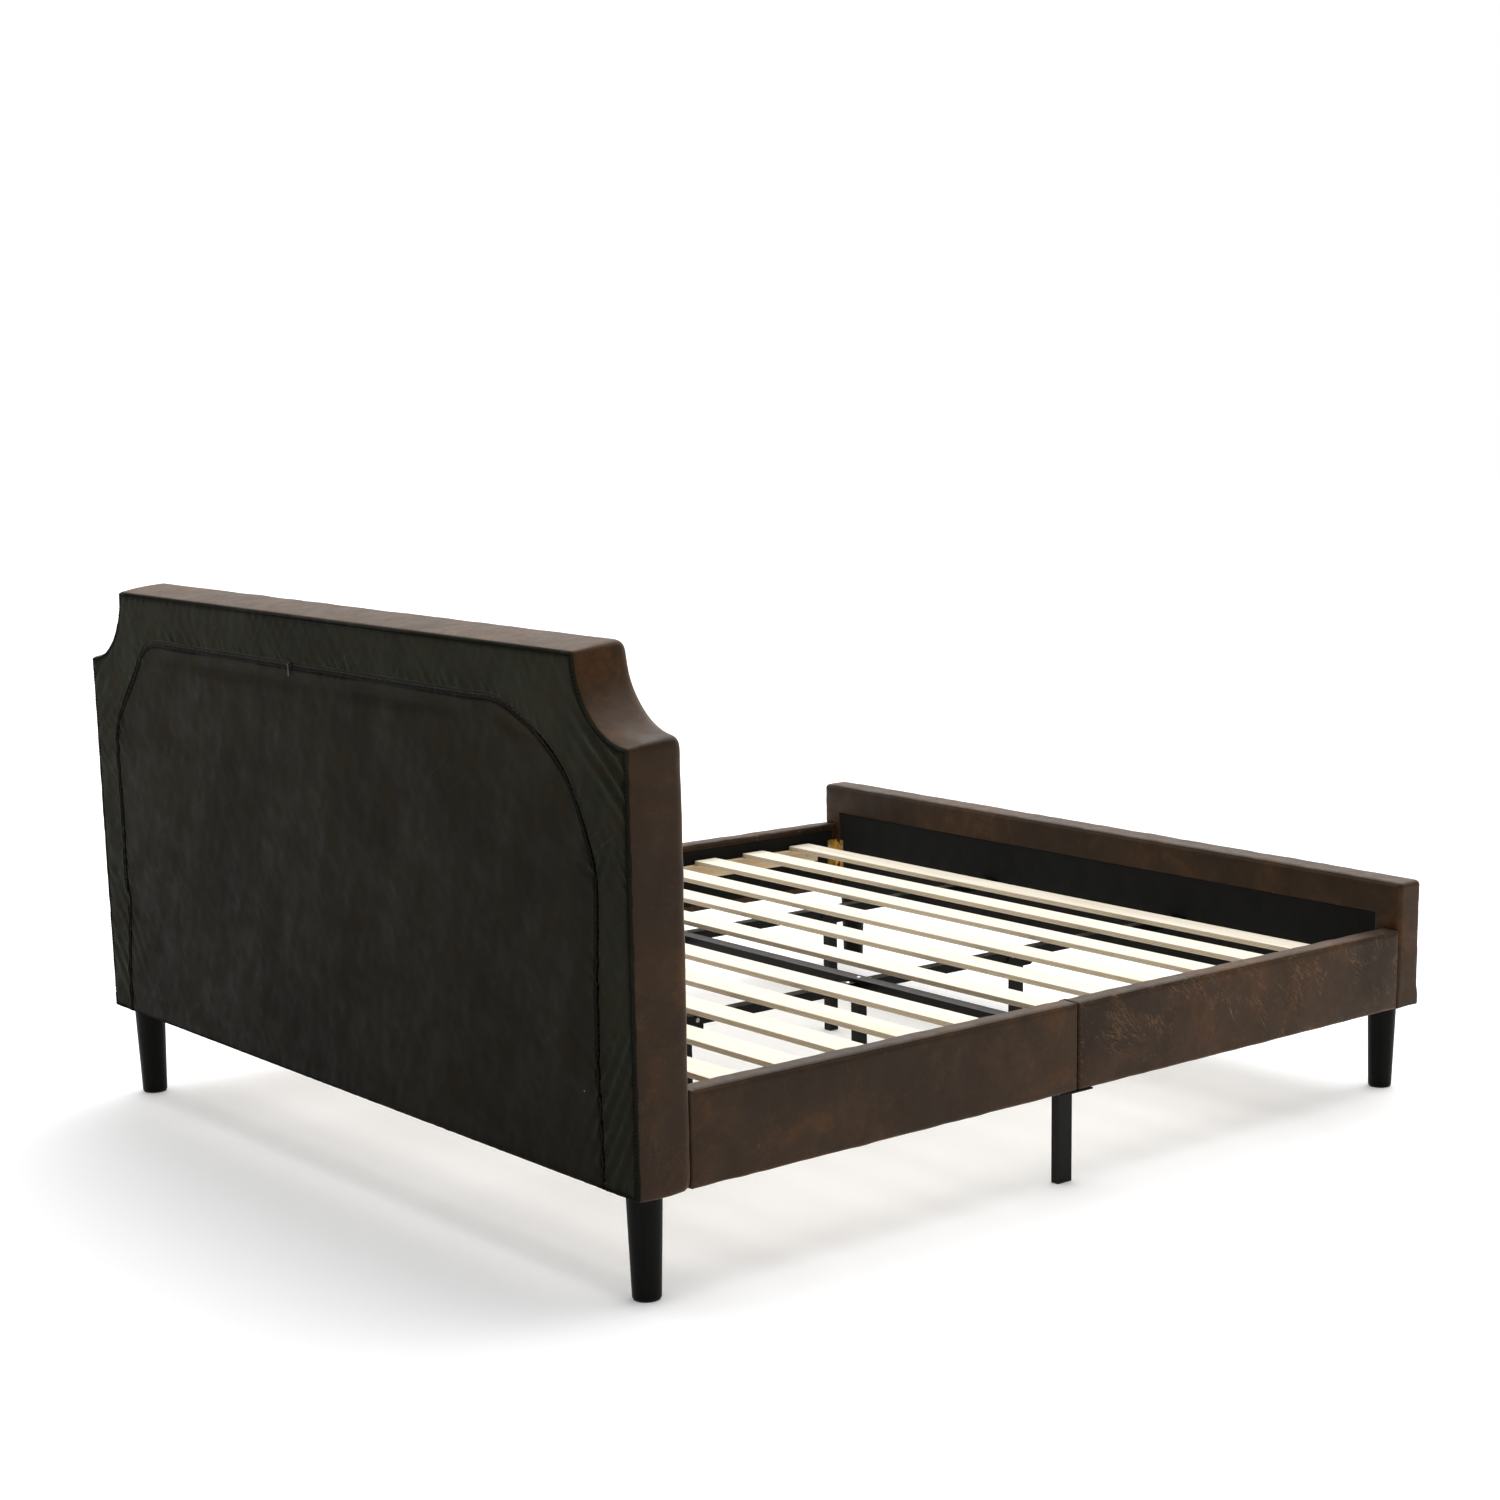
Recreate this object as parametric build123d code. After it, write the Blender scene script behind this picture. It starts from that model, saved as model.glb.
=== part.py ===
from build123d import *
import os
from math import sqrt

# King-size upholstered platform bed with a low footboard and a tall headboard
# whose two upper corners are scooped out. The headboard's back is closed by a
# cloth panel with an arched zip.
# Frame: X across the width, +Y towards the headboard, +Z up. The origin is on
# the floor, at the middle of the whole bed. All sizes are in millimetres.

# ---- mattress and overall sizes
mattress_width = 1930.0
mattress_length = 2032.0
mattress_side_gap = 30.0
mattress_end_gap = 9.0
panel_bottom = 206.0          # underside of headboard, footboard and side rails
headboard_height = 989.0
headboard_thickness = 115.0
scoop_radius = 157.0          # concave upper corners of the headboard
footboard_height = 298.0
footboard_thickness = 78.0
rail_height = 188.0
rail_thickness = 50.0

# ---- upholstery
cover_thickness = 1.2         # faux leather
cloth_thickness = 1.0         # black lining and back cloth
headboard_foam_thickness = 26.0
headboard_edge_foam = 12.0
footboard_foam_thickness = 12.0
rail_foam_thickness = 8.0
window_lap = 16.0             # how far the rail cover turns on to the inner face
footboard_border = 70.0       # leather border round the footboard's lining
footboard_top_border = 76.0

# ---- timber
plywood_thickness = 9.0
footboard_panel_thickness = 6.0
frame_board = 28.0
stiffener_width = 45.0
stiffener_spacing = 660.0
footboard_frame_board = 26.0
corner_post_width = 75.0
ledge_width = 22.0
ledge_height = 38.0
ledge_head_gap = 45.0
ledge_foot_gap = 88.0
ledge_split_gap = 45.0
split_from_headboard = 995.0  # joint of the two rail halves, from the headboard's face
split_gap = 2.0

# ---- slats
slat_width = 72.0
slat_thickness = 12.0
mattress_recess = 44.0        # slats' top below the rails' top
slat_end_gap = 5.0
slats_per_half = 6
first_slat_foot = 82.0        # centre of the nearest slat, from the crossbar's centre
first_slat_head = 150.0
last_slat_foot = 143.0        # centre of the last slat, from the footboard's face
last_slat_head = 55.0         # and from the headboard's face

# ---- steel frame
crossbar_width = 34.0
tube_height = 22.0
tube_wall = 1.5
crossbar_drop = 7.0           # crossbar's top below the slats
bar_width = 30.0
bar_drop = 7.0                # long bars' top below the crossbar's top
bar_offset = 345.0            # long bars, from the middle of the bed
center_leg_width = 25.0
side_leg_x = 20.0
side_leg_y = 40.0
side_leg_inset = 48.0
middle_leg_offset = 490.0     # legs at the middle of each long bar, from the crossbar
plate = 3.0                   # brackets and plates
corner_bracket_arm = 34.0
corner_bracket_height = 100.0
bar_bracket_width = 60.0
bar_bracket_drop = 16.0
splice_width = 150.0
splice_height = 63.0
splice_drop = 24.0            # splice plate's top below the crossbar
hanger_width = 60.0
hanger_reach = 55.0
center_bracket_length = 80.0
center_bracket_drop = 18.0
center_bracket_corner = 12.0
side_plate_x = 52.0           # plate on top of each side leg
side_plate_y = 90.0

# ---- corner legs
leg_top_radius = 34.0
leg_bottom_radius = 27.5
glide_height = 3.0
glide_inset = 2.0
head_leg_inset = 60.0
head_leg_setback = 52.0
foot_leg_inset = 75.0
bolt_radius = 4.0
bolt_in_leg = 30.0
nut_radius = 5.5
nut_flange_radius = 12.0
nut_flange = 2.0
bolt_end = 3.0
hole_clearance = 1.0

# ---- small screws
screw_radius = 2.5
screw_length = 14.0
screw_head_radius = 5.0
screw_head = 2.0
screw_margin = 15.0           # from a bracket's end to its screw
splice_screw_margin = 20.0
ledge_screws = 4
ledge_screw_margin = 40.0

# ---- arched zip in the back cloth
zip_side_margin = 103.0       # zip's straight sides, from the headboard's edges
zip_top_margin = 110.0
zip_radius_left = 215.0       # towards +X
zip_radius_right = 300.0      # towards -X
coil_width = 2.6
coil_thickness = 1.6
coil_gap = 1.4
slider_rest = 126.0
slider_length = 14.0
slider_width = 9.0
slider_plate = 1.4
slider_clearance = 0.3
neck_thickness = 0.7
pin_radius = 0.8
pull_length = 24.0
pull_width = 6.0
pull_thickness = 1.6
pull_eye_radius = 2.2
running_clearance = 0.05

# ---- worked out from the sizes above
inner_width = mattress_width + 2 * mattress_side_gap
inner_length = mattress_length + 2 * mattress_end_gap
half_width = inner_width / 2 + rail_thickness
inner_x = inner_width / 2
headboard_top = panel_bottom + headboard_height
footboard_top = panel_bottom + footboard_height
rail_top = panel_bottom + rail_height
slat_top = rail_top - mattress_recess
zip_half_width = half_width - zip_side_margin
zip_top = headboard_top - zip_top_margin
slider_stack = 2 * slider_clearance + slider_plate + pull_eye_radius
zip_stand_off = (coil_thickness - cloth_thickness) + slider_stack + pull_eye_radius
overall_length = footboard_thickness + inner_length + headboard_thickness + zip_stand_off
foot_y = -overall_length / 2
back_y = overall_length / 2 - zip_stand_off
board_y = back_y - headboard_thickness
footboard_y = foot_y + footboard_thickness
split_y = board_y - split_from_headboard
slat_bottom = slat_top - slat_thickness
crossbar_top = slat_bottom - crossbar_drop
crossbar_bottom = crossbar_top - tube_height
bar_top = crossbar_top - bar_drop
bar_bottom = bar_top - tube_height
splice_top = crossbar_bottom - splice_drop
splice_bottom = splice_top - splice_height
through_headboard = cover_thickness + headboard_foam_thickness + plywood_thickness
sides = {"left": 1, "right": -1}
rail_ends = {"head": (split_y + split_gap / 2, board_y), "foot": (footboard_y, split_y - split_gap / 2)}


def block(x0, x1, y0, y1, z0, z1):
    """A box between two corners."""
    centre = ((x0 + x1) / 2, (y0 + y1) / 2, (z0 + z1) / 2)
    return Pos(*centre) * Box(abs(x1 - x0), abs(y1 - y0), abs(z1 - z0))


def rod(radius, start, end):
    """A round bar between two points that lie along one axis."""
    start = Vector(*start)
    end = Vector(*end)
    return Solid.make_cylinder(radius, (end - start).length, Plane(start, z_dir=end - start))


def slab(face, y0, y1):
    """A face drawn at y = 0 and thickened from y0 to y1."""
    return Pos(0, y0, 0) * extrude(face, amount=y1 - y0, dir=(0, 1, 0))


def save(name, *shapes):
    """Writes one node, as one solid or as a group of separate solids."""
    solids = [solid for shape in shapes for solid in shape.solids()]
    node = solids[0] if len(solids) == 1 else Compound(children=solids)
    export_step(node, f"parts/{name}.step")


def screw(point, direction, length):
    """A pan-head screw: its head stands on the point and its shank goes along direction."""
    point = Vector(*point)
    direction = Vector(*direction)
    head = rod(screw_head_radius, point - direction * screw_head, point)
    return head + rod(screw_radius, point, point + direction * length)


def screw_holes(screws):
    """The holes that the shanks of these screws fill."""
    holes = []
    for point, direction, length in screws:
        start = Vector(*point)
        holes.append(rod(screw_radius, start, start + Vector(*direction) * length))
    return holes


def headboard_face(inset, bottom_inset):
    """The headboard's outline at y = 0, moved inwards: a rectangle with scooped upper corners."""
    edge = half_width - inset
    top = headboard_top - inset
    bottom = panel_bottom + bottom_inset
    radius = scoop_radius + inset
    reach = sqrt(radius**2 - inset**2)
    diagonal = radius / sqrt(2)
    left_arc = ThreePointArc(
        (-edge, 0, headboard_top - reach),
        (-half_width + diagonal, 0, headboard_top - diagonal),
        (-half_width + reach, 0, top),
    )
    right_arc = ThreePointArc(
        (half_width - reach, 0, top),
        (half_width - diagonal, 0, headboard_top - diagonal),
        (edge, 0, headboard_top - reach),
    )
    base = Polyline(
        (edge, 0, headboard_top - reach),
        (edge, 0, bottom),
        (-edge, 0, bottom),
        (-edge, 0, headboard_top - reach),
    )
    ridge = Line((-half_width + reach, 0, top), (half_width - reach, 0, top))
    return make_face(left_arc.edges() + ridge.edges() + right_arc.edges() + base.edges())


def zip_face(inset):
    """The arch inside the zip at y = 0, moved inwards: straight sides and two round corners."""
    edge = zip_half_width - inset
    top = zip_top - inset
    left = zip_radius_left - inset
    right = zip_radius_right - inset
    left_arc = ThreePointArc(
        (edge, 0, top - left),
        (edge - left + left / sqrt(2), 0, top - left + left / sqrt(2)),
        (edge - left, 0, top),
    )
    right_arc = ThreePointArc(
        (-edge + right, 0, top),
        (-edge + right - right / sqrt(2), 0, top - right + right / sqrt(2)),
        (-edge, 0, top - right),
    )
    ridge = Line((edge - left, 0, top), (-edge + right, 0, top))
    base = Polyline(
        (-edge, 0, top - right),
        (-edge, 0, panel_bottom),
        (edge, 0, panel_bottom),
        (edge, 0, top - left),
    )
    return make_face(left_arc.edges() + ridge.edges() + right_arc.edges() + base.edges())


# ---- where legs and screws go
head_leg_y = back_y - head_leg_setback
foot_leg_y = foot_y + footboard_thickness / 2
corner_legs = {
    "head_left": (half_width - head_leg_inset, head_leg_y),
    "head_right": (-half_width + head_leg_inset, head_leg_y),
    "foot_left": (half_width - foot_leg_inset, foot_leg_y),
    "foot_right": (-half_width + foot_leg_inset, foot_leg_y),
}


def leg_bolt_holes(radius, z0, z1):
    """Round holes over the four corner legs."""
    return [rod(radius, (x, y, z0), (x, y, z1)) for x, y in corner_legs.values()]


def ledge_spans():
    """Where each rail's two ledges start and end along the bed."""
    return [
        (footboard_y + ledge_foot_gap, split_y - ledge_split_gap),
        (split_y + ledge_split_gap, board_y - ledge_head_gap),
    ]


def corner_screws(sign, face_y, into_bed, length):
    """The screws of one corner angle: two into the rail, two into the headboard or footboard."""
    far = corner_bracket_arm - screw_margin / 2
    into_rail = []
    into_board = []
    for z in (slat_top - corner_bracket_height + screw_margin, slat_top - screw_margin):
        rail_point = (sign * (inner_x - plate), face_y + into_bed * far, z)
        board_point = (sign * (inner_x - far), face_y + into_bed * plate, z)
        into_rail.append((rail_point, (sign, 0, 0), screw_length))
        into_board.append((board_point, (0, -into_bed, 0), length))
    return into_rail, into_board


def place_screws():
    """Every small screw, in lists named for what it goes into."""
    into = {"rail": [], "footboard": [], "headboard": [], "steel": []}
    board_length = plate + through_headboard
    for sign in sides.values():
        for name, face_y, into_bed, length in (
            ("footboard", footboard_y, 1, screw_length),
            ("headboard", board_y, -1, board_length),
        ):
            into_rail, into_board = corner_screws(sign, face_y, into_bed, length)
            into["rail"] += into_rail
            into[name] += into_board
            for side_step in (-1, 1):
                x = sign * bar_offset + side_step * (bar_bracket_width - screw_margin) / 2
                into[name].append(((x, face_y + into_bed * plate, bar_bottom), (0, -into_bed, 0), length))
        for step in (-1, 1):
            y = split_y + step * (splice_width / 2 - splice_screw_margin)
            z = (splice_top + splice_bottom) / 2
            into["rail"].append(((sign * (inner_x - plate), y, z), (sign, 0, 0), screw_length))
            y = split_y + step * (side_plate_y / 2 - screw_margin)
            x = sign * (inner_x + rail_thickness / 2)
            into["rail"].append(((x, y, panel_bottom - plate), (0, 0, 1), screw_length))
        for y0, y1 in ledge_spans():
            spacing = (y1 - y0 - 2 * ledge_screw_margin) / (ledge_screws - 1)
            for i in range(ledge_screws):
                y = y0 + ledge_screw_margin + i * spacing
                point = (sign * (inner_x - ledge_width), y, ledge_middle)
                into["rail"].append((point, (sign, 0, 0), ledge_width + screw_length))
        x = sign * bar_offset
        into["steel"].append(((x, split_y, crossbar_top), (0, 0, -1), screw_length))
        for step in (-1, 1):
            y = split_y + step * (crossbar_width / 2 + screw_margin)
            into["steel"].append(((x, y, bar_top), (0, 0, -1), screw_length))
            leg_y = split_y + step * middle_leg_offset
            for leg_step in (-1, 1):
                y = leg_y + leg_step * (center_bracket_length / 2 - screw_margin)
                point = (x - bar_width / 2 - plate, y, (bar_top + bar_bottom) / 2)
                into["steel"].append((point, (1, 0, 0), screw_length))
    return into


ledge_middle = slat_bottom - ledge_height / 2
screws_into = place_screws()
all_screws = [one for group in screws_into.values() for one in group]


def build_headboard():
    """The headboard from front to back: cover, foam, plywood, timber frame, back cloth and zip."""
    foam_front = board_y + cover_thickness
    plywood_front = foam_front + headboard_foam_thickness
    frame_front = plywood_front + plywood_thickness
    frame_back = back_y - cloth_thickness
    padding = cover_thickness + headboard_edge_foam
    bolt_holes = leg_bolt_holes(bolt_radius + hole_clearance, panel_bottom, panel_bottom + cover_thickness)
    holes = screw_holes(screws_into["headboard"])

    shell = slab(headboard_face(0, 0), board_y, frame_back)
    hollow = slab(headboard_face(cover_thickness, cover_thickness), foam_front, frame_back)
    save("headboard_cover", shell - hollow - bolt_holes - holes)

    core = slab(headboard_face(padding, cover_thickness), plywood_front, frame_back)
    save("headboard_foam", hollow - core - holes)
    front_panel = slab(headboard_face(padding, cover_thickness), plywood_front, frame_front)
    save("headboard_front_panel", front_panel - holes)

    inner = padding + frame_board
    ring = slab(headboard_face(padding, cover_thickness), frame_front, frame_back)
    ring -= slab(headboard_face(inner, cover_thickness + frame_board), frame_front, frame_back)
    bottom_top = panel_bottom + cover_thickness + frame_board
    scoop_bottom = headboard_top - sqrt((scoop_radius + inner) ** 2 - inner**2)
    scoop_side = half_width - sqrt((scoop_radius + inner) ** 2 - inner**2)
    nut_holes = leg_bolt_holes(nut_radius, panel_bottom, bottom_top)
    everywhere = 2 * half_width
    bottom_zone = block(-everywhere, everywhere, frame_front, frame_back, 0, bottom_top)
    post_zone = block(-everywhere, everywhere, frame_front, frame_back, bottom_top, scoop_bottom)
    top_zone = block(-scoop_side, scoop_side, frame_front, frame_back, scoop_bottom, headboard_top)
    upper_zone = block(-everywhere, everywhere, frame_front, frame_back, scoop_bottom, headboard_top)
    save("headboard_bottom_rail", (ring & bottom_zone) - nut_holes)
    save("headboard_posts", ring & post_zone)
    save("headboard_top_rail", ring & top_zone)
    save("headboard_scoop_blocks", ring & (upper_zone - top_zone))

    stiffeners = []
    for middle in (-stiffener_spacing / 2, stiffener_spacing / 2):
        x0 = middle - stiffener_width / 2
        x1 = middle + stiffener_width / 2
        stiffener_back = frame_front + frame_board
        stiffeners.append(block(x0, x1, frame_front, stiffener_back, bottom_top, headboard_top - inner))
    save("headboard_stiffeners", *stiffeners)
    build_back_cloth(frame_back)


def build_back_cloth(cloth_front):
    """The cloth on the back with its arched zip, the zip's slider and its pull."""
    coil_back = back_y + coil_thickness - cloth_thickness
    coil_width_all = 2 * coil_width + coil_gap
    whole_cloth = slab(headboard_face(0, 0), cloth_front, back_y)
    save("headboard_back_border", whole_cloth - slab(zip_face(0), cloth_front, back_y))
    save("headboard_zip_panel", slab(zip_face(coil_width_all), cloth_front, back_y))
    outer_coil = slab(zip_face(0), cloth_front, coil_back)
    outer_coil -= slab(zip_face(coil_width), cloth_front, coil_back)
    inner_start = coil_width + coil_gap
    inner_coil = slab(zip_face(inner_start), cloth_front, coil_back)
    inner_coil -= slab(zip_face(coil_width_all), cloth_front, coil_back)
    save("zip_chain", outer_coil, inner_coil)

    middle = zip_top - coil_width_all / 2
    x0 = slider_rest - slider_length / 2
    x1 = slider_rest + slider_length / 2
    z0 = middle - slider_width / 2
    z1 = middle + slider_width / 2
    plate_back = coil_back + slider_clearance + slider_plate
    plate_front = cloth_front - slider_clearance - slider_plate
    back_plate = block(x0, x1, coil_back + slider_clearance, plate_back, z0, z1)
    front_plate = block(x0, x1, plate_front, cloth_front - slider_clearance, z0, z1)
    neck_z = neck_thickness / 2
    neck = block(x0, x0 + slider_length / 3, plate_front, plate_back, middle - neck_z, middle + neck_z)
    pin_y = coil_back + slider_stack
    ear_gap = pull_width / 2 + slider_clearance
    ear_y = pin_y + 2 * pin_radius
    ear_z = 2 * pin_radius
    ears = []
    for step in (-1, 1):
        near = slider_rest + step * ear_gap
        far = near + step * slider_plate
        ears.append(block(near, far, plate_back, ear_y, middle - ear_z, middle + ear_z))
    pin = rod(pin_radius, (slider_rest - ear_gap, pin_y, middle), (slider_rest + ear_gap, pin_y, middle))
    save("zip_slider", back_plate + front_plate + neck + ears + pin)

    pull_x0 = slider_rest - pull_width / 2
    pull_x1 = slider_rest + pull_width / 2
    tab_y = pull_thickness / 2
    tab = block(pull_x0, pull_x1, pin_y - tab_y, pin_y + tab_y, middle - pull_length, middle)
    eye = rod(pull_eye_radius, (pull_x0, pin_y, middle), (pull_x1, pin_y, middle))
    eye_hole = rod(pin_radius + running_clearance, (pull_x0, pin_y, middle), (pull_x1, pin_y, middle))
    save("zip_pull", eye + tab - eye_hole)


def build_footboard():
    """The footboard from outside to inside: cover, foam, thin panel, timber frame and black lining."""
    foam_front = foot_y + cover_thickness
    panel_front = foam_front + footboard_foam_thickness
    frame_front = panel_front + footboard_panel_thickness
    frame_back = footboard_y - cover_thickness
    bottom = panel_bottom + cover_thickness
    edge = half_width - cover_thickness
    core_edge = edge - footboard_foam_thickness
    core_top = footboard_top - cover_thickness - footboard_foam_thickness
    window_edge = half_width - footboard_border
    window_top = footboard_top - footboard_top_border
    bolt_holes = leg_bolt_holes(bolt_radius + hole_clearance, panel_bottom, bottom)

    shell = block(-half_width, half_width, foot_y, footboard_y, panel_bottom, footboard_top)
    hollow = block(-edge, edge, foam_front, frame_back, bottom, footboard_top - cover_thickness)
    window = block(-window_edge, window_edge, frame_back, footboard_y, bottom, window_top)
    core = block(-core_edge, core_edge, panel_front, frame_back, bottom, core_top)
    bracket_holes = screw_holes(screws_into["footboard"])
    save("footboard_cover", shell - hollow - window - bolt_holes - bracket_holes)
    save("footboard_lining", window - bracket_holes)
    save("footboard_foam", hollow - core)
    save("footboard_outer_panel", block(-core_edge, core_edge, panel_front, frame_front, bottom, core_top))

    rail_top_z = bottom + footboard_frame_board
    top_rail_z = core_top - footboard_frame_board
    bottom_rail = block(-core_edge, core_edge, frame_front, frame_back, bottom, rail_top_z)
    nut_holes = leg_bolt_holes(nut_radius, bottom, rail_top_z)
    save("footboard_bottom_rail", bottom_rail - nut_holes - bracket_holes)
    save("footboard_top_rail", block(-core_edge, core_edge, frame_front, frame_back, top_rail_z, core_top))
    post_half = footboard_frame_board / 2
    bracket_half = bar_bracket_width / 2 + post_half
    nut_pockets = leg_bolt_holes(nut_flange_radius, rail_top_z, rail_top_z + nut_flange + bolt_end)
    post_edges = [
        (core_edge - corner_post_width, core_edge),
        (bar_offset - bracket_half, bar_offset + bracket_half),
        (-bar_offset - bracket_half, -bar_offset + bracket_half),
        (-core_edge, -core_edge + corner_post_width),
    ]
    posts = []
    for x0, x1 in post_edges:
        post = block(x0, x1, frame_front, frame_back, rail_top_z, top_rail_z)
        posts.append(post - bracket_holes - nut_pockets)
    save("footboard_posts", *posts)


def build_rail(side, half, y0, y1):
    """One half of one side rail: cover, foam and board. Returns the foam pad and the lining."""
    sign = sides[side]
    outer = sign * half_width
    inner = sign * inner_x
    skin = sign * cover_thickness
    foam = sign * rail_foam_thickness
    bottom = panel_bottom + cover_thickness
    top = rail_top - cover_thickness
    board_top = top - rail_foam_thickness
    shell = block(inner, outer, y0, y1, panel_bottom, rail_top)
    hollow = block(inner + skin, outer - skin, y0 + cover_thickness, y1 - cover_thickness, bottom, top)
    window_bottom = panel_bottom + window_lap
    window_top = rail_top - window_lap
    window = block(inner, inner + skin, y0 + window_lap, y1 - window_lap, window_bottom, window_top)
    board_x = outer - skin - foam
    board = block(inner + skin, board_x, y0 + cover_thickness, y1 - cover_thickness, bottom, board_top)
    on_this_side = [one for one in screws_into["rail"] if one[0][0] * sign > 0]
    holes = screw_holes([one for one in on_this_side if y0 < one[0][1] < y1])
    save(f"{side}_rail_{half}_cover", shell - hollow - window - holes)
    save(f"{side}_rail_{half}_board", board - holes)
    return hollow - board, window - holes


def build_rails():
    """Both side rails, each in a head half and a foot half, with the ledges that carry the slats."""
    pads = []
    linings = []
    for side in sides:
        for half, (y0, y1) in rail_ends.items():
            pad, lining = build_rail(side, half, y0, y1)
            pads.append(pad)
            linings.append(lining)
    save("rail_foam_pads", *pads)
    save("rail_linings", *linings)
    holes = screw_holes(screws_into["rail"])
    ledges = []
    for sign in sides.values():
        for y0, y1 in ledge_spans():
            x = sign * inner_x
            ledge = block(x - sign * ledge_width, x, y0, y1, slat_bottom - ledge_height, slat_bottom)
            ledges.append(ledge - holes)
    save("slat_ledges", *ledges)


def build_slats():
    """Twelve slats, numbered from the footboard."""
    gaps = slats_per_half - 1
    foot_pitch = (split_y - footboard_y - first_slat_foot - last_slat_foot) / gaps
    head_pitch = (board_y - split_y - first_slat_head - last_slat_head) / gaps
    foot_half = [split_y - first_slat_foot - i * foot_pitch for i in range(slats_per_half)]
    head_half = [split_y + first_slat_head + i * head_pitch for i in range(slats_per_half)]
    edge = inner_x - slat_end_gap
    for number, y in enumerate(sorted(foot_half + head_half), start=1):
        slat = block(-edge, edge, y - slat_width / 2, y + slat_width / 2, slat_bottom, slat_top)
        save(f"slat_{number:02d}", slat)


def tube_x(x0, x1, y, width, z0, z1):
    """A rectangular tube along X, open at both ends."""
    outside = block(x0, x1, y - width / 2, y + width / 2, z0, z1)
    half = width / 2 - tube_wall
    return outside - block(x0, x1, y - half, y + half, z0 + tube_wall, z1 - tube_wall)


def tube_y(y0, y1, x, width, z0, z1):
    """A rectangular tube along Y, open at both ends."""
    outside = block(x - width / 2, x + width / 2, y0, y1, z0, z1)
    half = width / 2 - tube_wall
    return outside - block(x - half, x + half, y0, y1, z0 + tube_wall, z1 - tube_wall)


def tube_z(x, y, size_x, size_y, z0, z1):
    """A rectangular upright tube, open at both ends."""
    outside = block(x - size_x / 2, x + size_x / 2, y - size_y / 2, y + size_y / 2, z0, z1)
    half_x = size_x / 2 - tube_wall
    half_y = size_y / 2 - tube_wall
    return outside - block(x - half_x, x + half_x, y - half_y, y + half_y, z0, z1)


def build_steel():
    """The crossbar, the four long bars, their brackets and the square legs."""
    holes = screw_holes(screws_into["steel"])
    crossbar = tube_x(-inner_x, inner_x, split_y, crossbar_width, crossbar_bottom, crossbar_top)
    save("crossbar", crossbar - holes)
    bar_ends = {
        "head": (split_y + crossbar_width / 2, board_y - plate),
        "foot": (footboard_y + plate, split_y - crossbar_width / 2),
    }
    for half, (y0, y1) in bar_ends.items():
        bars = []
        for sign in sides.values():
            bar = tube_y(y0, y1, sign * bar_offset, bar_width, bar_bottom, bar_top)
            bars.append(bar - holes)
        save(f"long_bars_{half}", *bars)

    brackets = []
    legs = []
    glides = []
    for sign in sides.values():
        for shift in (-middle_leg_offset, 0, middle_leg_offset):
            x = sign * bar_offset
            y = split_y + shift
            brackets.append(center_leg_bracket(x, y) - holes)
            legs.append(tube_z(x, y, center_leg_width, center_leg_width, glide_height, bar_bottom - plate))
            glides.append(square_glide(x, y, center_leg_width, center_leg_width))
    save("center_leg_brackets", *brackets)
    save("center_legs", *legs)

    side_legs = []
    for sign in sides.values():
        x = sign * (half_width - side_leg_inset)
        x0 = sign * (inner_x - plate)
        leg = tube_z(x, split_y, side_leg_x, side_leg_y, glide_height, panel_bottom - plate)
        top = block(
            x0, x0 + sign * side_plate_x,
            split_y - side_plate_y / 2, split_y + side_plate_y / 2,
            panel_bottom - plate, panel_bottom,
        )
        side_legs.append(leg + (top - screw_holes(screws_into["rail"])))
        glides.append(square_glide(x, split_y, side_leg_x, side_leg_y))
    save("side_legs", *side_legs)
    build_brackets()
    return glides


def square_glide(x, y, size_x, size_y):
    """A plastic plug under a square leg: a foot pad and a stem that fits in the tube."""
    pad = block(x - size_x / 2, x + size_x / 2, y - size_y / 2, y + size_y / 2, 0, glide_height)
    half_x = size_x / 2 - tube_wall
    half_y = size_y / 2 - tube_wall
    stem = block(x - half_x, x + half_x, y - half_y, y + half_y, glide_height, 5 * glide_height)
    return pad + stem


def center_leg_bracket(x, y):
    """A bent plate under a long bar: two cheeks hold the bar and reach down beside the leg."""
    half_length = center_bracket_length / 2
    inside = bar_width / 2
    outside = inside + plate
    z0 = bar_bottom - center_bracket_drop
    z1 = bar_top
    if abs(y - split_y) < half_length:
        z1 = bar_bottom
    web = block(x - inside, x + inside, y - half_length, y + half_length, bar_bottom - plate, bar_bottom)
    bracket = web
    for sign in (-1, 1):
        cheek = block(x + sign * inside, x + sign * outside, y - half_length, y + half_length, z0, z1)
        lower_edges = [edge for edge in cheek.edges().filter_by(Axis.X) if edge.center().Z < z0 + plate]
        bracket += fillet(lower_edges, center_bracket_corner)
    return bracket


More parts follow.
